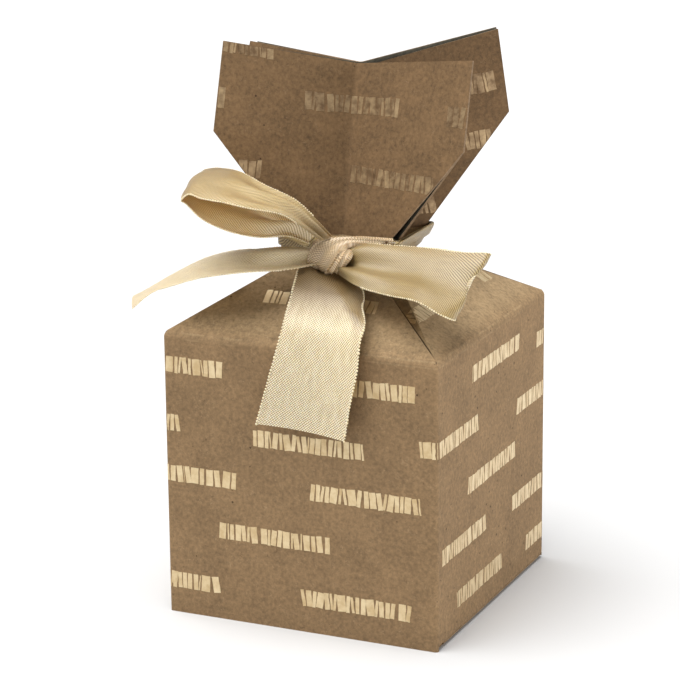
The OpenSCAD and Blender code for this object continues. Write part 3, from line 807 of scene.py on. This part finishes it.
# Sets a modifier's named inputs by their sockets' identifiers, and gives back the plain mesh that results
def grown(source, tree, values):
    modifier = source.modifiers.new("grow", "NODES")
    modifier.node_group = tree
    for item in tree.interface.items_tree:
        if item.item_type == "SOCKET" and item.in_out == "INPUT" and item.name in values:
            modifier[item.identifier] = values[item.name]
    bpy.context.view_layer.update()
    evaluated = source.evaluated_get(bpy.context.evaluated_depsgraph_get())
    mesh = bpy.data.meshes.new_from_object(evaluated)
    source.modifiers.remove(modifier)
    bpy.data.objects.remove(source)
    return mesh


# The outer skins of some panels as one sheet, with the flat blank's layout as its UV map
def carrierSheet(name, pieces):
    points, faces, flats = [], [], []
    for grid, flat in pieces:
        rows, cols = grid.shape[:2]
        start = sum(len(p) for p in points)
        points.append((grid + gridNormals(grid) * card["thickness"] / 2).reshape(-1, 3))
        flats.append(flat.reshape(-1, 2))
        index = np.arange(rows * cols).reshape(rows, cols) + start
        faces.append(gridFaces(index))
    flats = np.concatenate(flats)
    faces = np.concatenate(faces).tolist()
    return makeObject(name, np.concatenate(points), faces, [], None, flats, 180)


# The same panels laid flat, each a little smaller, to clip the foil by
def flatBlank(name, pieces):
    points, faces = [], []
    for grid, flat in pieces:
        rows, cols = grid.shape[:2]
        index = np.arange(rows * cols).reshape(rows, cols) + sum(len(p) for p in points)
        low, high = flat.min(axis=(0, 1)), flat.max(axis=(0, 1))
        middle = (low + high) / 2
        small = middle + (flat - middle) * (1 - foil["inset"] / (high - low))
        points.append(np.column_stack([small.reshape(-1, 2), np.zeros(rows * cols)]))
        faces.append(gridFaces(index))
    return makeObject(name, np.concatenate(points), np.concatenate(faces).tolist(), [])


def barLines(name, bars, corners):
    points, edges = [], []
    for (start, stop, low), (shiftX, shiftY) in zip(bars, corners):
        height = (low * mm + shiftY) + foil["height"] / 2
        edges.append((len(points), len(points) + 1))
        points += [(start * mm + shiftX, height, 0), (stop * mm + shiftX, height, 0)]
    return lineObject(name, points, edges)


# Bars in millimetres from a panel's middle and from its lower crease: left end, right end, lower edge
wallBars = {
    "front": [(-25.2, -14.2, 43.1), (0.5, 21, 42.8), (-25.2, -22.1, 32.8), (-8.4, 12.3, 31.9),
              (21.6, 25.4, 33.7), (-25.2, -11.8, 23.8), (2, 22.4, 23.7), (-14.8, 5.9, 14.6),
              (-25.2, -15.4, 4.5), (0.1, 20.4, 4.7)],
    "right": [(-10, 12.5, 42.6), (21, 24.2, 40.5), (11.3, 24.2, 30.9), (-24.1, -6.7, 33.6),
              (-11.6, 11, 23.5), (9.5, 24.2, 13.7), (-23.1, -3.3, 14.5), (16.7, 24.2, 4.1),
              (-16.5, 4.5, 4.9)],
    "back": [(-25.2, -8.6, 40.5), (4.6, 25.2, 43.4), (-25.2, -13.4, 30.9), (1.2, 21.8, 33.1),
             (-7.9, 12.6, 23.9), (-25.2, -15.5, 13.7), (-2.4, 18.2, 14.2), (-25.2, -11.7, 4.1),
             (6.3, 25.2, 5.1)],
    "left": [(-24.2, -16.8, 43.4), (-4.2, 16.4, 41.8), (-19.5, 1.1, 33.2), (13.8, 24.2, 32.6),
             (-24.2, -13.2, 23.6), (2.9, 23.4, 24.4), (-10.8, 9.8, 14.9), (-24.2, -17.5, 5.2),
             (-3.7, 16.9, 4.5)],
}
shoulderBars = {
    "front": [(-9.6, 10.6, 8.3)], "right": [(-16.6, -8.6, 7.0), (11.8, 16.8, 6.8)],
    "back": [(-6.2, 12.4, 8.4)], "left": [(-17.2, -6.4, 6.1), (5.2, 12.8, 9.6)],
}
petalBars = {
    "front": [(-24.9, -14.8, 27.0), (-24.6, -22.7, 19.3), (-8.5, 9.9, 19.9), (19.6, 23.4, 19.2),
              (-19.4, -15.2, 8.6), (1.0, 18.6, 8.2)],
    "right": [(-21.5, -11.0, 19.4), (17.6, 23.6, 18.9), (-6.3, 9.5, 9.6), (15.6, 20.8, 10.3),
              (5.6, 8.6, 1.2)],
    "back": [(-22.5, -8.2, 20.3), (6.1, 22.9, 19.6), (-11.9, 8.7, 10.4), (-6.4, 2.2, 1.3)],
    "left": [(-12.3, 8.3, 19.8), (16.2, 22.9, 20.6), (-19.2, -9.6, 10.1), (6.1, 18.5, 9.3)],
}
foilTree = makeFoilTree()


def stampFoil(name, body, bars, corners, material):
    sheet = carrierSheet("foil_carrier", carriers[body])
    blank = flatBlank("foil_blank", carriers[body])
    lines = barLines("foil_lines", bars, corners)
    mesh = grown(lines, foilTree, {
        "Card": sheet, "Blank": blank, "Pitch": foil["pitch"], "Height": foil["height"],
        "Thickness": foil["thickness"], "Lift": foil["lift"], "Slit": foil["slit"], "Spread": foil["spread"],
        "Slant": math.radians(foil["slant"]), "Raggedness": foil["ragged"], "Layout": sheetReach,
        "Seed": foil["seed"], "Material": material})
    bpy.data.objects.remove(sheet)
    bpy.data.objects.remove(blank)
    mesh.name = name
    stamp = linked(name, mesh)
    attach(stamp, body)


bars, corners = [], []
for k, side in enumerate(panelNames):
    panelMiddle = (layout["firstPanel"] + layout["panelStep"] * k) * mm
    for panelBars, low in ((wallBars[side], layout["wallLow"]), (shoulderBars[side], layout["shoulderLow"])):
        bars += panelBars
        corners += [(panelMiddle, low * mm)] * len(panelBars)
stampFoil("foil_on_body", "box", bars, corners, foilBright)
for side in panelNames:
    bars = petalBars[side]
    corners = [(layout["petalMiddle"] * mm, layout["petalLow"] * mm)] * len(bars)
    stampFoil("foil_on_" + side + "_petal", "petal_" + side, bars, corners, foilDull)
print("foil stamped")


# Ribbon. The stations follow the part's solids, with more bends: middle as shares of the body's width from
# the bow's anchor, then the step across as shares of the ribbon's width.

ribbon = {
    "width": 16 * mm, "thickness": 0.14 * mm, "crown": 0.05, "steps": 8, "columns": 28,
    "anchor": (0, -7 * mm, 61.1 * mm), "bead": 0.15 * mm, "beadPitch": 0.42 * mm, "beadStart": 10,
    "nearBeads": 1.35,
    # Shares of the width over which a bend turns and its painted shade grows, the painted shade's lead in
    # such shares, and its depth
    "bendSpread": 0.16, "shadeSpread": 0.1, "shadeLead": 1.4, "bendPaintedShade": 0.8,
}
ribbonShares = {
    "bow_loop_left": [
        ((0.01, -0.15, 0.10), (0.05, 0.20, 0)), ((-0.03, -0.20, 0.16), (0.05, 0.30, 0)),
        ((-0.08, -0.25, 0.22), (-0.05, 0.45, 0.05)), ((-0.17, -0.30, 0.26), (-0.15, 0.65, 0.10)),
        ((-0.26, -0.30, 0.285), (-0.20, 0.85, 0.12)), ((-0.34, -0.29, 0.29), (-0.25, 0.95, 0.10)),
        ((-0.39, -0.28, 0.29), (-0.25, 0.95, 0.05)), ((-0.42, -0.27, 0.27), (-0.20, 0.90, 0.10)),
        ((-0.40, -0.26, 0.25), (-0.15, 0.90, 0.05)), ((-0.33, -0.264, 0.234), (-0.10, 0.875, 0.253)),
        ((-0.25, -0.246, 0.207), (-0.10, 0.76, 0.334)), ((-0.17, -0.216, 0.178), (-0.10, 0.56, 0.30)),
        ((-0.10, -0.174, 0.15), (-0.05, 0.325, 0.153)), ((-0.04, -0.15, 0.107), (-0.05, 0.15, 0.056))],
    "bow_loop_right": [
        ((0.05, -0.150, 0.022), (0, 0.18, 0.10)), ((0.15, -0.205, 0.043), (-0.08, 0.40, 0.31)),
        ((0.28, -0.22, 0.04), (-0.10, 0.60, 0.35)), ((0.40, -0.24, 0.04), (-0.15, 0.75, 0.35)),
        ((0.49, -0.24, 0.02), (-0.10, 0.75, 0.45)), ((0.56, -0.22, 0.01), (0.10, 0.65, 0.55)),
        ((0.55, -0.19, 0), (0.10, 0.65, 0.50)), ((0.47, -0.16, 0), (0.05, 0.68, 0.45)),
        ((0.35, -0.13, 0.01), (0, 0.60, 0.38)), ((0.24, -0.12, 0.01), (0.10, 0.42, 0.36)),
        ((0.06, -0.12, 0.02), (0, 0.10, 0.15))],
    "tail_front": [
        ((-0.022, -0.122, 0.002), (0.22, 0.05, -0.05)), ((0.004, -0.171, -0.006), (0.50, 0.03, -0.04)),
        ((0.062, -0.217, -0.022), (0.80, 0.02, -0.03)), ((0.099, -0.273, -0.047), (0.95, 0.02, 0)),
        ((0.108, -0.314, -0.075), (0.96, 0, 0)), ((0.102, -0.344, -0.101), (0.91, 0, 0)),
        ((0.100, -0.391, -0.160), (0.89, -0.02, -0.01)), ((0.090, -0.418, -0.260), (0.95, -0.04, -0.02)),
        ((0.063, -0.424, -0.374), (0.98, -0.05, -0.03)), ((0.030, -0.412, -0.496), (1.02, -0.05, -0.05))],
    "tail_left": [
        ((-0.02, -0.13, 0.035), (-0.06, 0.10, 0.18)), ((-0.10, -0.20, 0.036), (-0.10, 0.26, 0.23)),
        ((-0.19, -0.255, 0.033), (-0.16, 0.40, 0.19)), ((-0.29, -0.25, 0.015), (-0.32, 0.72, 0.07)),
        ((-0.41, -0.24, -0.02), (-0.40, 0.90, -0.04)), ((-0.53, -0.22, -0.078), (-0.40, 0.90, -0.125)),
        ((-0.605, -0.22, -0.122), (-0.40, 0.87, -0.20)), ((-0.68, -0.22, -0.17), (-0.40, 0.84, -0.10))],
}
# How each ribbon is gathered towards the knot: depth of its folds at both ends, how many, and their start
ribbonFolds = {
    "bow_loop_left": (0.8 * mm, 2.2 * mm, 2.0, 0.4), "bow_loop_right": (1.1 * mm, 2.6 * mm, 1.7, 1.2),
    "tail_front": (0.9 * mm, 0.9 * mm, 1.5, 1.2), "tail_left": (1.2 * mm, 0.8 * mm, 1.5, 0.2),
}
# Where across its width the front tail bends back, and by how many degrees, station by station
ribbonBends = {
    "tail_front": [(0.3, 0), (0.12, 60), (0.05, 88), (0.07, 88), (0.17, 85), (0.36, 90), (0.5, 20), (0.5, 0),
                   (0.5, 0), (0.5, 0)],
}
# How far along each ribbon the knot's painted shadow is full and where it ends, and how deep it is
ribbonPaintedShade = {
    "bow_loop_left": (2 * mm, 7 * mm, 0.5), "bow_loop_right": (2 * mm, 6 * mm, 0.5),
    "tail_front": (9.5 * mm, 17 * mm, 0.95), "tail_left": (1 * mm, 4 * mm, 0.2),
}


def ribbonGrid(name):
    stations = ribbonShares[name]
    nearDepth, farDepth, count, start = ribbonFolds[name]
    bends = smoothed(ribbonBends.get(name, [(0.5, 0)] * len(stations)), ribbon["steps"])
    width = ribbon["width"]
    anchor = np.array(ribbon["anchor"])
    middles = smoothed([anchor + np.array(c) * 2 * card["halfWidth"] for c, across in stations],
                       ribbon["steps"])
    steps = smoothed([np.array(across) * width for c, across in stations], ribbon["steps"])
    s = np.linspace(-0.5, 0.5, ribbon["columns"] + 1)
    along = directions(middles, 0)
    up = unitised(np.cross(steps, along))
    reach = np.linalg.norm(steps, axis=1)
    gathered = np.clip(1 - reach / width, 0, 1) * np.linspace(nearDepth, farDepth, len(reach))
    wave = np.sin(2 * math.pi * count * s[None, :] + start) * gathered[:, None]
    crown = (reach * ribbon["crown"])[:, None] * (1 - 4 * s ** 2)[None, :]
    halfway = (s[1:] + s[:-1])[None, :] / 2
    share = np.clip((halfway - bends[:, :1]) / ribbon["bendSpread"] + 0.5, 0, 1)
    turn = np.radians(bends[:, 1:]) * share ** 2 * (3 - 2 * share)
    backwards = np.array([0, 1, 0])
    parts = np.cos(turn)[..., None] * unitised(steps)[:, None] + np.sin(turn)[..., None] * backwards
    parts *= reach[:, None, None] / ribbon["columns"]
    parts = np.concatenate([np.zeros_like(parts[:, :1]), np.cumsum(parts, axis=1)], axis=1)
    grid = (middles - steps / 2)[:, None] + parts + up[:, None] * (wave + crown)[..., None]
    run = runAlong(middles)
    flat = np.stack([np.repeat(s[None, :] * width, len(run), 0) + width,
                     np.repeat(run[:, None], len(s), 1)], -1)
    # Painted shadow of the knot near each ribbon's start, and painted shade on the part that bends back
    deep, clear, strength = ribbonPaintedShade[name]
    knotPaintedShade = np.clip((clear - run) / (clear - deep), 0, 1)[:, None] * strength
    beyond = (s[None, :] - bends[:, :1]) / ribbon["shadeSpread"] + ribbon["shadeLead"]
    beyond = np.clip(beyond, 0, 1) * bends[:, 1:] / 90
    gathered = np.clip(np.maximum(knotPaintedShade, ribbon["bendPaintedShade"] * beyond), 0, 1)
    return grid, flat, run[-1], gathered


def clothShare(grid, flatArea):
    across, along = np.diff(grid, axis=1)[:-1], np.diff(grid, axis=0)[:, :-1]
    return np.linalg.norm(np.cross(across, along), axis=-1).sum() / flatArea


def makeBeadTree():
    tree, given, out = newGroup("selvedgeBeads", "GeometryNodeTree", [
        ("Geometry", "NodeSocketGeometry", None),
        ("Bead Radius", "NodeSocketFloat", 0.00017),
        ("Pitch", "NodeSocketFloat", 0.00042),
        ("Seed", "NodeSocketInt", 5),
        ("Material", "NodeSocketMaterial", None),
    ], [("Geometry", "NodeSocketGeometry")])
    g = given.outputs
    lines = place(tree, "GeometryNodeMeshToCurve", None, {0: g["Geometry"]})
    spots = place(tree, "GeometryNodeCurveToPoints", {"mode": "LENGTH"}, {
        "Curve": lines.outputs[0], "Length": g["Pitch"]})
    bead = place(tree, "GeometryNodeMeshIcoSphere", None, {"Radius": g["Bead Radius"], "Subdivisions": 2})
    chance = place(tree, "FunctionNodeRandomValue", {"data_type": "FLOAT"})
    chance.inputs[2].default_value = 0.8
    chance.inputs[3].default_value = 1.2
    tree.links.new(g["Seed"], chance.inputs["Seed"])
    beads = place(tree, "GeometryNodeInstanceOnPoints", None, {
        "Points": spots.outputs[0], "Instance": bead.outputs["Mesh"], "Rotation": spots.outputs["Rotation"],
        "Scale": chance.outputs[1]})
    loose = place(tree, "GeometryNodeRealizeInstances", None, {0: beads.outputs[0]})
    painted = place(tree, "GeometryNodeSetMaterial", None, {
        "Geometry": loose.outputs[0], "Material": g["Material"]})
    tree.links.new(painted.outputs[0], out.inputs[0])
    return tree


beadTree = makeBeadTree()


def beadSelvedges(name, grid):
    points, edges = [], []
    for line in (grid[ribbon["beadStart"]:, 0], grid[ribbon["beadStart"]:, -1]):
        edges += [(len(points) + i, len(points) + i + 1) for i in range(len(line) - 1)]
        points += [tuple(p) for p in line]
    size = ribbon["nearBeads"] if name.startswith("tail_front") else 1
    made = linked(name, grown(lineObject(name, points, edges), beadTree, {
        "Bead Radius": ribbon["bead"] * size, "Pitch": ribbon["beadPitch"] * size, "Seed": 5,
        "Material": selvedgeThread}))
    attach(made, "box")
    return made


# Painted light and shade: lighter satin copies on the tails and the left loop's inside, a darker one on the
# right loop's inside
ribbonSkins = {
    "bow_loop_left": [satin, satinReverse], "bow_loop_right": [satinReverse, satinDeep],
    "tail_front": [satinTail], "tail_left": [satinTail],
}
for name in ribbonShares:
    grid, flat, length, gathered = ribbonGrid(name)
    strip = thickSheet(name + "_satin", grid, ribbon["thickness"], ribbonSkins[name], flat, gathered)
    print(name, "holds", round(clothShare(grid, ribbon["width"] * length), 2), "of its flat area")
    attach(strip, "box")
    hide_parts(name)
    beads = beadSelvedges(name + "_selvedge", grid)
print("bow laid")


# Ribbon folded in layers round the neck

band = {
    # Shares of the neck's width, at the band's upper and lower edge
    "corners": [(-0.65, -0.68), (0.73, -0.53), (0.72, 0.46), (-0.65, 0.515)],
    "lowCorners": [(-0.65, -0.68), (0.68, -0.53), (0.58, 0.44), (-0.63, 0.50)],
    "cornerRadius": 0.5 * mm, "low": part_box("neck_band")[0].z, "high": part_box("neck_band")[1].z,
    "swayShare": 0.04, "sways": 3,
    # Out from the card and share of the height, over the folded ribbon's width
    "fold": [(0.10, 0.04), (0.10, 0.90), (0.16, 0.96), (0.22, 0.88), (0.22, 0.14), (0.29, 0.06), (0.36, 0.14),
             (0.38, 0.86), (0.50, 0.99), (0.70, 0.98), (0.82, 0.88), (0.84, 0.52), (0.74, 0.46)],
}


def bandGrid():
    across = card["neckAcross"]
    profile = smoothed(band["fold"], 4)
    rings = [bandRing([np.array(c) * across for c in band[key]]) for key in ("lowCorners", "corners")]
    height = band["high"] - band["low"]
    grid = []
    for out, share in profile:
        ring, outs = (low * (1 - share) + high * share for low, high in zip(*rings))
        around = np.linspace(0, 2 * math.pi * band["sways"], len(ring))
        sway = band["swayShare"] * height * np.sin(around + out * 9)
        plan = ring + outs * (band["cornerRadius"] + out * mm)
        z = np.clip(band["low"] + share * height + sway, band["low"], band["high"])
        grid.append(np.column_stack([plan, z]))
    return np.array(grid)


# Corner points and outward directions once round the neck
def bandRing(corners):
    ring, outs = [], []
    count = len(corners)
    for i, corner in enumerate(corners):
        before = corner - corners[i - 1]
        after = corners[(i + 1) % count] - corner
        start = math.atan2(before[1], before[0]) - math.pi / 2
        turn = (math.atan2(after[1], after[0]) - math.pi / 2 - start) % (2 * math.pi)
        for s in np.linspace(0, 1, 9):
            a = start + turn * s
            ring.append(corner)
            outs.append((math.cos(a), math.sin(a)))
        for s in np.linspace(0, 1, 12)[1:-1]:
            ring.append(corner + after * s)
            outs.append(outs[-1])
    ring.append(ring[0])
    outs.append(outs[0])
    return np.array(ring), np.array(outs)


grid = bandGrid()
ringRun = runAlong(grid[0])
foldRun = runAlong(grid[:, 5])
flat = np.stack(np.meshgrid(ringRun, foldRun), -1)
# Painted shade: the band gets the darker satin copy
neckBand = thickSheet("neck_band_satin", grid, ribbon["thickness"], [satinDeep], flat[..., ::-1])
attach(neckBand, "box")
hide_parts("neck_band")
print("band gathered")


# Knot: a core, the gathered ribbon wrapped over its front, and a narrow roll tucked beside it

knotLow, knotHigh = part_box("knot")
knot = {
    "rings": 20, "ringPoints": 32, "squeeze": 0.80, "ripple": 0.06, "columns": 14, "steps": 6,
    # Left and right edge of each station in millimetres, from the band on the right over the front to below
    "wrap": [
        ((10.2, -8.5, 65.5), (10.2, -8.8, 64.7)), ((7.7, -10.8, 66.1), (7.9, -11.3, 65.0)),
        ((5.9, -12.3, 66.5), (6.5, -13.0, 65.2)), ((3.5, -13.4, 66.6), (5.2, -14.4, 65.5)),
        ((1.0, -13.9, 66.4), (4.4, -15.6, 65.2)), ((-0.8, -14.4, 65.7), (4.1, -16.3, 64.4)),
        ((-1.9, -15.0, 64.7), (3.5, -16.5, 63.3)), ((-2.5, -15.3, 63.2), (2.7, -16.3, 62.2)),
        ((-2.6, -15.2, 61.7), (1.9, -15.9, 61.2)), ((-2.4, -14.2, 60.8), (1.0, -14.9, 60.2)),
        ((-2.1, -12.4, 60.6), (0.6, -13.0, 60.0))],
    "wrapThickness": 0.8 * mm, "wrapCrown": 0.9 * mm, "wrapFold": 0.16 * mm, "wrapFolds": 2.6,
    "roll": [
        ((4.4, -14.9, 65.1), (5.7, -14.5, 64.8)), ((4.6, -16.9, 64.5), (6.0, -16.8, 64.1)),
        ((4.0, -17.4, 63.4), (5.5, -17.2, 63.2)), ((3.2, -17.2, 62.1), (4.6, -17.0, 62.0)),
        ((2.2, -16.5, 61.0), (3.6, -16.3, 61.1)), ((1.2, -14.2, 60.2), (2.8, -14.0, 60.3))],
    "rollThickness": 0.7 * mm, "rollCrown": 0.45 * mm, "rollFold": 0.0, "rollFolds": 1.0,
}


def makeKnotCore():
    centre = (knotLow + knotHigh) / 2
    half = (knotHigh - knotLow) / 2 * knot["squeeze"]
    rings, count = knot["rings"], knot["ringPoints"]
    points = [(centre.x, centre.y, centre.z - half.z)]
    for i in range(1, rings):
        polar = math.pi * i / rings
        for j in range(count):
            a = 2 * math.pi * j / count
            swell = 1 + knot["ripple"] * math.sin(3 * a + 4 * polar)
            out = math.sin(polar) ** 0.8 * swell
            points.append((centre.x + half.x * out * math.cos(a), centre.y + half.y * out * math.sin(a),
                           centre.z - half.z * math.cos(polar)))
    points.append((centre.x, centre.y, centre.z + half.z))
    faces = []
    for j in range(count):
        after = (j + 1) % count
        faces.append((0, 1 + after, 1 + j))
        for i in range(rings - 2):
            low, high = 1 + i * count, 1 + (i + 1) * count
            faces.append((low + j, low + after, high + after, high + j))
        last = 1 + (rings - 2) * count
        faces.append((last + j, last + after, len(points) - 1))
    flat = [((p[0] - centre.x) + ribbon["width"], (p[2] - centre.z) + ribbon["width"]) for p in points]
    return makeObject("knot_core", points, faces, [satinKnot], None, flat, 180)


def makeKnotPart(kind):
    left, right = (smoothed([np.array(pair[i]) * mm for pair in knot[kind]], knot["steps"]) for i in (0, 1))
    s = np.linspace(0, 1, knot["columns"] + 1)
    middles = (left + right) / 2
    up = unitised(np.cross(right - left, directions(middles, 0)))
    waves = np.sin(2 * math.pi * knot[kind + "Folds"] * s + 0.8) * knot[kind + "Fold"]
    swell = knot[kind + "Crown"] * np.sin(math.pi * s) ** 0.7 + waves
    narrow = np.linalg.norm(right - left, axis=1)
    swell = swell[None, :] * np.minimum(1, narrow / narrow.max())[:, None]
    grid = left[:, None] + (right - left)[:, None] * s[None, :, None] + up[:, None] * swell[..., None]
    run = runAlong(middles)
    flat = np.stack([narrow[:, None] * s[None, :] + ribbon["width"], np.repeat(run[:, None], len(s), 1)], -1)
    return thickSheet("knot_" + kind, grid, knot[kind + "Thickness"], [satinKnot], flat)


knotCore = makeKnotCore()
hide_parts("knot")
for piece in (knotCore, makeKnotPart("wrap"), makeKnotPart("roll")):
    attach(piece, "box")
print("knot tied")


# Floor and light

studio = {
    "floorHalf": 3.0, "world": 0.40, "sunStrength": 4.3, "sunSpread": 60, "sunFrom": (-0.20, -0.20, 0.96),
    "sidePower": 6.0, "sideSize": 0.5, "sideAt": (1.0, 0.12, 0.10), "seenWhite": 1.1, "aim": 0.05,
}


def makeStudio(s):
    material, tree, shader = newMaterial("paleFloor")
    where = place(tree, "ShaderNodeTexCoord").outputs["Object"]
    cloud = place(tree, "ShaderNodeTexNoise", None, {"Vector": where, "Scale": 3.0}).outputs[0]
    tree.links.new(mixColors(tree, cloud, (0.65, 0.65, 0.65, 1), (0.67, 0.67, 0.67, 1)),
                   shader.inputs["Base Color"])
    shader.inputs["Roughness"].default_value = 0.8
    half = s["floorHalf"]
    square = [(-half, -half, 0), (half, -half, 0), (half, half, 0), (-half, half, 0)]
    floor = makeObject("studio_floor", square, [(0, 1, 2, 3)], [material])
    world = bpy.data.worlds.new("paleRoom")
    world.use_nodes = True
    # The camera sees a white room, and the objects get its softer light
    room = world.node_tree
    seen = place(room, "ShaderNodeLightPath").outputs["Is Camera Ray"]
    strength = sums(room, "ADD", s["world"], sums(room, "MULTIPLY", seen, s["seenWhite"] - s["world"]))
    room.nodes["Background"].inputs[0].default_value = (1, 1, 1, 1)
    room.links.new(strength, room.nodes["Background"].inputs[1])
    bpy.context.scene.world = world
    sun = bpy.data.lights.new("softSun", "SUN")
    sun.energy = s["sunStrength"]
    sun.angle = math.radians(s["sunSpread"])
    side = bpy.data.lights.new("sideLight", "AREA")
    side.energy = s["sidePower"]
    side.size = s["sideSize"]
    for light, spot in ((sun, s["sunFrom"]), (side, s["sideAt"])):
        lamp = linked(light.name, light)
        lamp.location = spot
        aim = Vector((0, 0, s["aim"] if light is side else 0))
        lamp.rotation_euler = (aim - lamp.location).to_track_quat("-Z", "Y").to_euler()


makeStudio(studio)
bpy.context.scene.view_settings.view_transform = "Standard"
print("studio lit")
